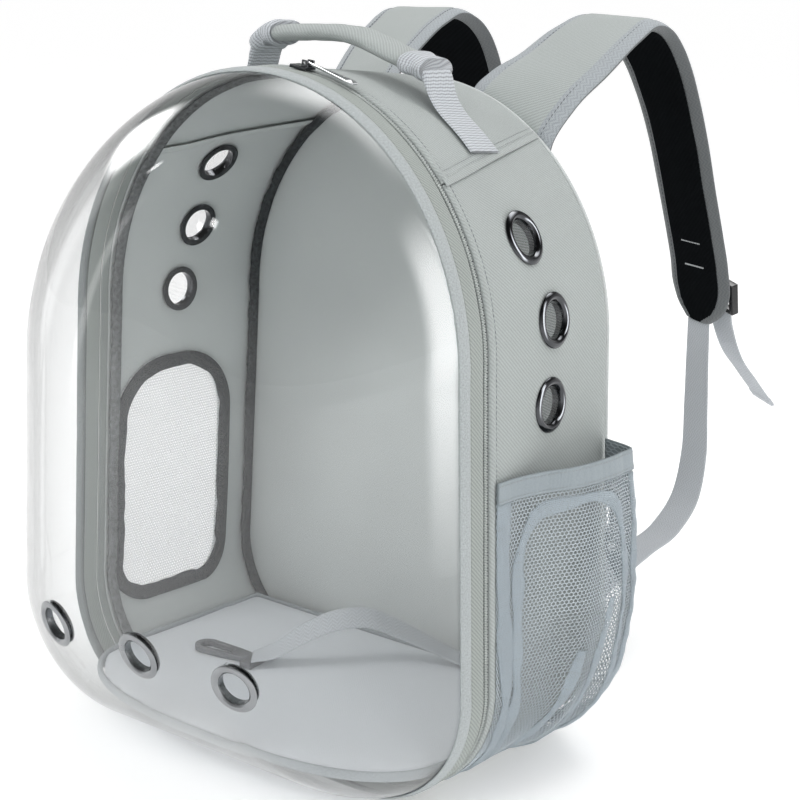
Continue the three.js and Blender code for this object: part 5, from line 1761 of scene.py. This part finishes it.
@dataclass
class CabinFloor:
    """The floor mat, and the leash with its hook."""

    underside: float = 25.0
    thickness: float = 8.0
    back: float = 59.0
    shoulder: float = -62.0
    reach: float = 74.0
    squareness: float = 2.5
    leash_width: float = 15.0
    leash_thickness: float = 1.6
    route: tuple = (
        (-41, -45, 38.8, 6), (-30, -37, 43.5, 25), (-15, -24, 56, 44), (1, -9, 65, 45), (14, 5, 66, 44),
        (29, 19, 58, 36), (45, 33, 47.5, 22), (60, 44, 38.5, 10), (80, 49, 35.2, 0), (126, 50, 34.8, 0),
    )

    def half_width(self, y: float) -> float:
        """Half the mat's width at this depth."""
        share = BODY.share_at(self.underside, y)
        return float(BODY.point(share, y, -BODY.cloth)[0]) - BODY.seat * 2

    def loop(self) -> Array:
        """The mat's outline seen from above."""
        right = [(self.half_width(y), y) for y in np.linspace(self.back, self.shoulder, 26)]
        half = self.half_width(self.shoulder)
        turn = np.linspace(0, math.pi, 72)[1:-1]
        bend = 2 / self.squareness
        front = np.column_stack([half * np.sign(np.cos(turn)) * np.abs(np.cos(turn)) ** bend,
                                 self.shoulder - self.reach * np.sin(turn) ** bend])
        return np.vstack([right, front, [(-x, y) for x, y in right[::-1]]])

    def build_mat(self) -> None:
        """The soft mat, swollen by its filling, with a bound edge."""
        loop = self.loop()
        middle = np.array([0, (self.back + self.shoulder) / 2])
        away = unit(loop - middle)

        def ring(inset: float, height: float, scale: float = 1.0) -> Array:
            """The outline moved inwards at a height."""
            flat = middle + (loop - away * inset - middle) * scale
            return np.column_stack([flat, np.full(len(flat), height)])

        low, high = self.underside, self.underside + self.thickness
        rings = ([ring(4.5, low + 0.8, s) for s in np.linspace(0.1, 1, 12)] + [ring(2.4, low + 1.6),
                                                                               ring(2.2, high - 2.2)]
                 + [ring(4.5, high - 1.2, s) for s in np.linspace(1, 0.1, 12)])
        poles = [[*middle, low + 0.8], [*middle, high - 1.2]]
        mat = skin_object("mat_pad", np.array(rings), Cap.POLES, poles)
        puff(mat, 5.0, 1.1)
        flat_map(mat)
        fasten(dress(mat, MAT_CLOTH), "mat_cloth", "floor_mat")
        turn = np.linspace(0, math.tau, 12, endpoint=False)
        centre = (low + high) / 2
        bead = np.array([np.column_stack([
            (loop - away * 2.2) + away * 1.9 * math.cos(t),
            np.full(len(loop), centre + 3.2 * math.sin(t))]) for t in turn])
        edge = skin_object("mat_edge_tape", bead.transpose(1, 0, 2), Cap.LOOP)
        fasten(dress(edge, LIGHT_BINDING), "mat_cloth")

    def build_leash(self) -> None:
        """Webbing and hook."""
        rows = np.array(self.route, float)
        flow = np.gradient(rows[:, :3], axis=0)
        level = unit(np.column_stack([flow[:, 1], -flow[:, 0], 0 * flow[:, 0]]))
        lean = np.radians(rows[:, 3])
        across = unit(level * np.cos(lean)[:, None] - np.array([0, 0, 1.0]) * np.sin(lean)[:, None])
        count = len(rows)
        strip = Strip(rows[:, :3], across, np.full(count, self.leash_width / 2),
                      np.full(count, self.leash_thickness / 2))
        leash = strip.smooth(1.5).build("leash_strip", 16)
        fasten(dress(leash, FINE_WEBBING), "webbing", "leash_webbing")
        hook = merged_copy("leash_hook", "leash_snap_hook", 1.0)
        fasten(dress(hook, HOOK_PLASTIC), "hook_plastic", "leash_hook")

    def build(self) -> None:
        """Builds what lies on the floor."""
        self.build_mat()
        self.build_leash()


def flat_map(piece: Any) -> None:
    """Lays a flat pad's cloth out by its place seen from above."""
    layer = piece.data.uv_layers.get("Cloth") or piece.data.uv_layers.new(name="Cloth")
    at = np.empty(len(piece.data.vertices) * 3)
    piece.data.vertices.foreach_get("co", at)
    index = np.empty(len(piece.data.loops), np.int32)
    piece.data.loops.foreach_get("vertex_index", index)
    layer.data.foreach_set("uv", at.reshape(-1, 3)[index][:, :2].ravel())


def puff(piece: Any, voxel: float, most: float, pressure: float = 4.0, frames: int = 20) -> None:
    """Swells a pad as its filling does.

    Args:
        piece: The pad.
        voxel: Grain of its new mesh in millimetres.
        most: The furthest that a point may move, in millimetres.
        pressure: Strength of the filling.
        frames: Steps of the simulation.
    """
    remesh = piece.modifiers.new("even mesh", "REMESH")
    remesh.mode = "VOXEL"
    remesh.voxel_size = voxel * MM
    settle(piece)
    start = np.empty(len(piece.data.vertices) * 3)
    piece.data.vertices.foreach_get("co", start)
    cloth = piece.modifiers.new("filling", "CLOTH")
    cloth.settings.use_pressure = True
    cloth.settings.uniform_pressure_force = pressure
    cloth.settings.effector_weights.gravity = 0.0
    scene = bpy.context.scene
    for step in range(1, frames + 1):
        scene.frame_set(step)
    settle(piece)
    scene.frame_set(1)
    end = np.empty_like(start)
    piece.data.vertices.foreach_get("co", end)
    move = (end - start).reshape(-1, 3)
    size = np.linalg.norm(move, axis=1, keepdims=True)
    move *= np.minimum(1, most * MM / np.maximum(size, 1e-9))
    piece.data.vertices.foreach_set("co", (start.reshape(-1, 3) + move).ravel())
    finer = piece.modifiers.new("smooth", "SUBSURF")
    finer.levels = finer.render_levels = 1
    settle(piece)
    piece.data.polygons.foreach_set("use_smooth", [True] * len(piece.data.polygons))


@dataclass
class CarryHandle:
    """The padded grip and the webbing that it is sewn on."""

    middle: float = -6.0
    webbing: float = 28.0
    webbing_thickness: float = 2.0
    length: float = 128.0
    width: float = 30.0
    thickness: float = 10.0
    top: float = 442.0
    sag: float = 18.0
    grip_rows: tuple = (
        (-1, 0.42, 0.6), (-0.93, 0.22, 1), (-0.7, 0.08, 1), (-0.4, 0.02, 1), (-0.1, 0, 1), (0.12, 0.06, 1),
        (0.35, 0.28, 1), (0.6, 0.58, 1), (0.82, 0.82, 1), (0.95, 0.93, 0.95), (1, 1, 0.6),
    )
    webbing_rows: tuple = (
        (0.59, 0, 1), (0.46, 0, 1), (0.36, 0, 1), (0.25, 0.02, 1), (0.16, 0.12, 1), (0.1, 0.32, 1),
        (0.06, 0.58, 1.6), (0.02, 0.86, 2.4), (-0.03, 1.0, 2.6), (-0.12, 1.0, 2.2),
    )
    fold_length: float = 15.0
    fold_thickness: float = 2.2

    def build_fold(self, side: int) -> None:
        """The webbing folded round one end of the grip."""
        name = "left" if side < 0 else "right"
        share = np.linspace(1 - self.fold_length * 2 / self.length, 1.03, 16) * side
        rows = np.array(self.grip_rows, float)
        sag = spline(rows[:, 0], rows[:, 1], share)[:, 0]
        full = spline(rows[:, 0], rows[:, 2], np.clip(share, -0.95, 0.95))[:, 0]
        centres = np.column_stack([share * self.length / 2, np.full(16, self.middle),
                                   self.top - self.thickness / 2 - self.sag * sag])
        swell = 1 + 0.16 * np.sin(np.linspace(0.3, 2.8, 16) * 2) ** 2
        strip = Strip(centres, np.tile([0.0, 1.0, 0.0], (16, 1)),
                      np.full(16, self.webbing / 2 + 1.6) * swell ** 0.5,
                      (self.thickness / 2 * full + self.fold_thickness / 2) * swell)
        rings = strip.sections(24, 3.0)
        crease = 0.5 * ripple(strip.run[:, None], np.linspace(0, 60, 48)[None], 7, 70 + side)
        rings = rings + unit(rings - rings.mean(1, keepdims=True)) * crease[..., None]
        fold = skin_object(f"handle_fold_{name}", rings, Cap.LADDER)
        fasten(dress(fold, WEBBING), "webbing")

    def build_grip(self) -> None:
        """The padded grip."""
        rows = np.array(self.grip_rows, float)
        centres = np.column_stack([rows[:, 0] * self.length / 2, np.full(len(rows), self.middle),
                                   self.top - self.thickness / 2 - self.sag * rows[:, 1]])
        strip = Strip(centres, np.tile([0.0, 1.0, 0.0], (len(rows), 1)), np.full(len(rows), self.width / 2),
                      self.thickness / 2 * rows[:, 2]).smooth(1.2)
        wrinkle = 0.25 * ripple(strip.run[:, None], np.linspace(0, 80, 48)[None], 11, 2)
        rings = strip.sections(24, 2.6)
        middle = rings.mean(1, keepdims=True)
        rings = rings + unit(rings - middle) * wrinkle[..., None]
        grip = skin_object("handle_padding", rings, Cap.LADDER)
        fasten(dress(grip, GREY_TWILL), "twill", "handle_grip")

    def build_webbing(self, side: int) -> None:
        """One end's webbing."""
        half = self.length / 2
        end = self.grip_rows[0 if side < 0 else -1]
        grip_height = self.top - self.sag * end[1] - self.thickness / 2
        centres, across, deep = [], [], []
        for out, lift, layers in self.webbing_rows:
            x = side * (half + BODY.gap + out * half)
            front = BODY.top_at(x, self.middle - self.webbing / 2)
            back = BODY.top_at(x, self.middle + self.webbing / 2)
            ground = (front + back) / 2 + BODY.seat + self.webbing_thickness
            centres.append([x, self.middle, ground + (grip_height - ground) * lift])
            across.append([0, self.webbing, (back - front) * (1 - lift)])
            deep.append(self.webbing_thickness * layers / 2)
        strip = Strip(np.array(centres), unit(np.array(across)), np.full(len(deep), self.webbing / 2),
                      np.array(deep))
        name = "left" if side < 0 else "right"
        piece = strip.smooth(1.0).build(f"handle_strip_{name}", 20, 10)
        fasten(dress(piece, WEBBING), "webbing", f"handle_webbing_{name}")

    def build(self) -> None:
        """Builds the handle."""
        self.build_grip()
        for side in (-1, 1):
            self.build_webbing(side)
            self.build_fold(side)


@dataclass
class ShoulderHarness:
    """Both padded straps with their webbing, buckles and loose ends."""

    width: float = 67.0
    thickness: float = 9.0
    root_spacing: float = 124.0
    flare: float = 30.0
    root_height: float = 385.0
    crest: float = 59.0
    reach: float = 218.0
    drop: float = 212.0
    binding: float = 9.5
    webbing: float = 25.0
    webbing_thickness: float = 1.6
    end_fold: float = 9.0
    tacks: tuple = (46.0, 66.0)
    rows: tuple = (
        (0, -0.3, 0, 0, 1, 24, 0), (0.01, 0.02, 0, 0, 1, 24, 0), (0.08, 0.32, 0, 0.16, 1, 15, 0),
        (0.184, 0.56, 0, 0.36, 1, 8, 0), (0.337, 0.88, 0, 0.5, 1, 4, 3), (0.43, 1, 0, 0.56, 1, 2, 7),
        (0.52, 1, 0.02, 0.62, 1, 0, 12), (0.584, 1, 0.065, 0.68, 1, 0, 16), (0.64, 1, 0.13, 0.74, 1, 0, 19),
        (0.7, 1, 0.235, 0.82, 1, 0, 22), (0.76, 1, 0.37, 0.9, 1, 0, 24), (0.82, 1, 0.53, 0.96, 1, 0, 25),
        (0.88, 1, 0.68, 1, 1, 0, 25), (0.931, 1, 0.8, 1, 1, 0, 25), (0.965, 1, 0.9, 0.97, 0.95, 2, 24),
        (0.988, 1, 0.965, 0.9, 0.72, 4, 24), (1, 1, 1, 0.84, 0.42, 6, 24),
    )
    webbing_rows: tuple = (
        (0, 0, 0), (0.02, 0.18, 0.08), (0.05, 0.4, 0.2), (0.09, 0.62, 0.34), (0.17, 0.79, 0.46),
        (0.32, 0.89, 0.56),
        (0.55, 0.91, 0.7), (0.8, 0.94, 0.86), (1, 1, 1),
    )

    @property
    def start(self) -> float:
        """Depth of the strap's first row."""
        return BODY.back + BODY.gap + 4 + BODY.gap + self.thickness / 2

    def strap(self, side: int) -> Strip:
        """The padded strap's path."""
        out, rise, fall, flare, wide, slant, turn = np.array(self.rows, float).T
        slant, turn = np.radians(slant), np.radians(turn)
        centres = np.column_stack([side * (self.root_spacing / 2 + flare * self.flare),
                                   self.start + out * self.reach,
                                   self.root_height + rise * self.crest - fall * self.drop])
        across = unit(np.column_stack([side * np.cos(slant) * np.cos(turn), -np.sin(turn), -np.sin(slant)]))
        return Strip(centres, across, self.width * wide / 2, np.full(len(out), self.thickness / 2))

    def build_strap(self, side: int, name: str) -> None:
        """The padded strap with its bound edges and dark inner net."""
        strip = self.strap(side).smooth(2.0)
        points = 38
        share = np.linspace(-1, 1, points)
        reach = strip.half[:, None] * share[None]
        from_edge = strip.half[:, None] - np.abs(reach)
        rise = np.sqrt(np.clip(1 - (np.abs(share) ** 7), 0.02, 1))[None] * strip.deep[:, None]
        groove = 1.1 * np.exp(-((from_edge - self.binding) / 1.6) ** 2) * np.clip(strip.half[:, None] / 30,
                                                                                  0, 1)
        flat = np.clip((self.binding - from_edge) / self.binding, 0, 1) * 1.3
        wrinkle = 0.35 * ripple(strip.run[:, None], reach, 30, 40 + side) * np.clip(from_edge / 12, 0, 1)
        upper = np.maximum(rise - groove - flat + wrinkle, 0.6)
        lower = np.maximum(rise - 0.6 * groove - flat + wrinkle, 0.6)
        rings = np.concatenate([strip.place(reach, upper), strip.place(reach[:, ::-1], -lower[:, ::-1])], 1)
        strap = skin_object(f"padded_strap_{name}", rings, Cap.LADDER)
        outward = -1 if strip.thick[0][2] < 0 else 1
        rows = len(strip.half) - 1
        size = 2 * points
        index = np.zeros(len(strap.data.polygons), np.int32)
        middle = np.concatenate([from_edge[:-1, :-1], np.zeros((rows, 1)), from_edge[:-1, ::-1][:, :-1],
                                 np.zeros((rows, 1))], 1)
        first = np.arange(size) < points
        outer_face = first if outward > 0 else ~first
        # Slot 3, the binding on the lining face, takes the darker copy of the binding: painted shade.
        paint = np.where(middle < self.binding, np.where(outer_face[None], 1, 3),
                         np.where(outer_face[None], 0, 2))
        index[: rows * size] = paint.ravel()
        dress(strap, GREY_TWILL, LIGHT_BINDING, STRAP_LINING, SHADED_BINDING)
        strap.data.polygons.foreach_set("material_index", index)
        fasten(strap, "strap_cloth", f"shoulder_strap_{name}")
        lines = []
        for edge in (-1, 1):
            keep = strip.half > 20
            side_at = edge * (strip.half[keep] - self.binding + 1.2)
            for face in (1, -1):
                line = strip.centres[keep] + strip.across[keep] * side_at[:, None]
                lines.append(line + strip.thick[keep] * face * (self.thickness / 2 - 1.1))
        fasten(Stitches(3.2, 2.5, 0.6, DARK_THREAD).sew(f"strap_stitches_{name}", lines), "strap_cloth")
        bars = []
        for above_end in self.tacks:
            row = int(np.argmin(np.abs(strip.run - strip.run[-1] + above_end)))
            reach = np.linspace(-9, 11, 30)[:, None]
            bars.append(strip.centres[row] + strip.across[row] * reach
                        - strip.thick[row] * outward * (self.thickness / 2 + 0.2))
        fasten(Stitches(1.7, 1.6, 1.3, PALE_THREAD).sew(f"strap_tacks_{name}", bars), "strap_cloth")

    def build_webbing(self, side: int, name: str) -> None:
        """Lower webbing, buckle and loose end."""
        tip_rows = self.strap(side).centres[-2:]
        tip = tip_rows[1] + unit(tip_rows[1] - tip_rows[0]) * BODY.seat * 3
        anchor_x = side * (BODY.back_width / 2 - 14 - self.webbing / 2)
        run, fall, out = np.array(self.webbing_rows, float).T
        end_y = BODY.back + BODY.gap + 4 + BODY.gap
        centres = np.column_stack([tip[0] + (anchor_x - tip[0]) * out, tip[1] + (end_y - tip[1]) * run,
                                   tip[2] + (78 - tip[2]) * fall])
        turn = np.radians(24 * (1 - out))
        across = np.column_stack([side * np.cos(turn), -np.sin(turn), 0 * turn])
        count = len(run)
        strip = Strip(centres, across, np.full(count, self.webbing / 2),
                      np.full(count, self.webbing_thickness / 2))
        piece = strip.smooth(1.5).build(f"adjusting_strip_{name}", 20, 10)
        fasten(dress(piece, FINE_WEBBING), "webbing", f"strap_webbing_{name}")
        buckle = merged_copy(f"strap_buckle_{name}", f"ladder_buckle_{name}", 0.8)
        fasten(dress(buckle, BLACK_PLASTIC), "buckle_plastic", f"strap_buckle_{name}")
        self.build_tail(side, name)

    def build_tail(self, side: int, name: str) -> None:
        """The loose end below the buckle."""
        rows = self.strap(side)
        along = unit(rows.centres[-2] - rows.centres[-4])
        out = unit(np.cross(rows.across[-3], along))
        out = -out if out[1] < 0 else out
        sideways = unit(np.cross(out, along))
        middle = rows.centres[-3] + out * (self.thickness / 2 + BODY.seat + 3) + rows.across[-3] * 12
        down = np.cross(sideways, out)
        down = -down * np.sign(down[2])
        start = middle + down * (12 + BODY.gap)
        hanging = [start + [0, run * 82, -fall * 84] for run,
                   fall in ((0.1, 0.22), (0.27, 0.44), (0.6, 0.7), (1, 1))]
        centres = np.array([start, start + down * 4, *hanging])
        strip = Strip(centres, np.tile(sideways, (6, 1)), np.full(6, self.webbing / 2),
                      np.full(6, self.webbing_thickness / 2))
        strip = strip.smooth(1.5)
        folded = strip.run > strip.run[-1] - self.end_fold
        strip.deep = strip.deep * np.where(folded, 1.9, 1.0)
        piece = strip.build(f"loose_end_{name}", 20, 10)
        fasten(dress(piece, FINE_WEBBING), "webbing", f"strap_tail_{name}")

    def build(self) -> None:
        """Builds both sides."""
        for side, name in ((-1, "left"), (1, "right")):
            self.build_strap(side, name)
            self.build_webbing(side, name)


@dataclass(frozen=True)
class Lamp:
    """A soft box: its place, what it points at, its size, its power and whether it shines or mirrors."""

    name: str
    place: tuple[float, float, float]
    aim: tuple[float, float, float]
    size: tuple[float, float]
    power: float
    shines: bool = True
    mirrors: bool = True


@dataclass
class Studio:
    """Floor, soft lights and the camera."""

    position: tuple[float, float, float] = (0.6730, -0.8232, 0.4816)
    target: tuple[float, float, float] = (0.01924, 0.02787, 0.2083)
    roll: float = 1.41
    focal: float = 1737.5
    soft_light: float = 0.78
    mirrored_low: float = 0.85
    mirrored_high: float = 0.05
    floor_glow: float = 0.24
    lamps: tuple = (
        Lamp("key", (-0.75, -1.7, 1.9), (0.0, 0.0, 0.2), (0.9, 0.7), 19.0, mirrors=False),
        Lamp("fill", (1.6, -0.9, 0.7), (0.0, 0.0, 0.2), (0.9, 1.1), 7.0, mirrors=False),
        Lamp("above", (0.5, 0.7, 2.1), (0.0, 0.0, 0.3), (1.2, 1.2), 16.0, mirrors=False),
        Lamp("top_glow", (-1.3, 0.0, 1.05), (0.0, -0.1, 0.3), (0.8, 0.55), 26.0, shines=False),
        Lamp("crown_glow", (-0.1, 0.9, 1.6), (0.0, -0.1, 0.38), (2.2, 1.3), 60.0, shines=False),
        Lamp("right_strip", (0.56, 0.11, 0.37), (0.14, -0.1, 0.27), (0.26, 0.85), 9.0, shines=False),
        Lamp("right_edge", (0.53, 0.2, 0.37), (0.14, -0.1, 0.27), (0.035, 0.8), 0.8, shines=False),
        Lamp("left_strip", (-0.72, -0.62, 0.42), (0.0, -0.17, 0.25), (0.07, 0.9), 0.5, shines=False),
        Lamp("left_edge", (-0.85, -0.3, 0.42), (0.0, -0.17, 0.25), (0.25, 0.9), 1.0, shines=False),
        Lamp("pane_one", (-0.44, -1.28, 1.22), (0.04, -0.17, 0.34), (0.1, 0.12), 0.8, shines=False),
        Lamp("pane_two", (-0.52, -1.18, 1.06), (0.04, -0.17, 0.34), (0.07, 0.09), 0.4, shines=False),
        Lamp("pane_three", (-1.13, -0.62, 1.24), (-0.01, -0.16, 0.37), (0.06, 0.2), 0.5, shines=False),
    )

    def build_camera(self) -> None:
        """The camera at the photograph's place."""
        data = bpy.data.cameras.new("camera")
        data.sensor_width = 36.0
        data.lens = self.focal * 36.0 / 800
        camera = bpy.data.objects.new("camera", data)
        back = (Vector(self.position) - Vector(self.target)).normalized()
        right = (-back).cross(Vector((0, 0, 1))).normalized()
        up = right.cross(-back)
        turn = math.radians(self.roll)
        across = right * math.cos(turn) + up * math.sin(turn)
        above = up * math.cos(turn) - right * math.sin(turn)
        basis = Matrix((across, above, back)).transposed().to_4x4()
        camera.matrix_world = Matrix.Translation(self.position) @ basis
        bpy.context.scene.collection.objects.link(camera)
        bpy.context.scene.camera = camera

    def add_lamp(self, lamp: Lamp) -> None:
        """One soft box."""
        data = bpy.data.lights.new(lamp.name, "AREA")
        data.shape = "RECTANGLE"
        data.size, data.size_y = lamp.size
        data.energy = lamp.power
        data.use_nodes = True
        n = Nodes(data.node_tree)
        strength = 1.0 if lamp.mirrors else 1.7
        for place in n.parts(n.add("ShaderNodeNewGeometry").outputs["Parametric"])[:2]:
            strength = n.ramp(abs(place - 0.5), 0.5, 0.12) * strength
        shine = next(node for node in data.node_tree.nodes if node.type == "EMISSION")
        n.feed(shine.inputs["Strength"], strength)
        box = bpy.data.objects.new(lamp.name, data)
        box.location = lamp.place
        box.visible_diffuse = lamp.shines
        box.visible_glossy = lamp.mirrors
        box.visible_camera = False
        box.visible_transmission = False
        box.rotation_mode = "QUATERNION"
        box.rotation_quaternion = (Vector(lamp.aim) - Vector(lamp.place)).to_track_quat("-Z", "Y")
        bpy.context.scene.collection.objects.link(box)

    def build_world(self) -> None:
        """White surroundings that shine on cloth, and darker ones in what mirrors them."""
        world = bpy.data.worlds.new("pale surroundings")
        bpy.context.scene.world = world
        world.use_nodes = True
        world.node_tree.nodes.clear()
        n = Nodes(world.node_tree)
        ray = n.add("ShaderNodeLightPath")
        _, _, height = n.parts(n.add("ShaderNodeTexCoord").outputs["Generated"])
        mirrored = n.ramp(height, -0.05, 0.62, self.mirrored_low, self.mirrored_high)
        soft = n.mix(ray.outputs["Is Glossy Ray"], self.soft_light, mirrored)
        seen = n.mix(ray.outputs["Is Camera Ray"], soft, 1.0)
        sky = n.add("ShaderNodeBackground", {"Color": (1, 1, 1, 1), "Strength": seen})
        end = n.add("ShaderNodeOutputWorld", {"Surface": sky.outputs[0]})
        end.is_active_output = True

    def build(self) -> None:
        """Sets the whole studio."""
        scene = bpy.context.scene
        scene.view_settings.view_transform = "Standard"
        scene.cycles.caustics_reflective = False
        scene.cycles.caustics_refractive = False
        scene.cycles.transparent_max_bounces = 24
        scene.cycles.transmission_bounces = 16
        scene.cycles.max_bounces = 16
        self.build_world()
        reach = 200000
        floor = mesh_object("floor", np.array([[-reach, -reach, -0.2], [reach, -reach, -0.2],
                                               [reach, reach, -0.2],
                                               [-reach, reach, -0.2]]), [[0, 1, 2, 3]])
        pale = Material("pale_floor", Coordinates.PLACE)
        pale.set(Roughness=1.0, Specular_IOR_Level=0.0, Emission_Strength=self.floor_glow)
        pale.shader.inputs["Emission Color"].default_value = (1, 1, 1, 1)
        pale.colour((0.97, 0.97, 0.97), pale.group(fuzz_group(), Sway=0.01, Fleck=0.01).outputs["Shade"])
        floor.data.materials.append(pale.data)
        for lamp in self.lamps:
            self.add_lamp(lamp)
        self.build_camera()


def main() -> None:
    """Builds the backpack piece by piece and reports each."""
    logging.basicConfig(level=logging.INFO, format="%(message)s")
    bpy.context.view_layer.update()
    Studio().build()
    vents = SideVents()
    DomeDoor().build()
    DoorZipper().build()
    cloth = FabricBody()
    window = SideWindow()
    cloth.build_sides({side: vents.frames(side) for side in ("right", "left")}, vents.barrel, window.cutter())
    cloth.build_top_and_base()
    cloth.build_seams()
    cloth.build_back()
    vents.build()
    window.build()
    BottlePocket().build()
    CabinFloor().build()
    CarryHandle().build()
    ShoulderHarness().build()
    bpy.context.view_layer.update()


if __name__ == "__main__":
    main()
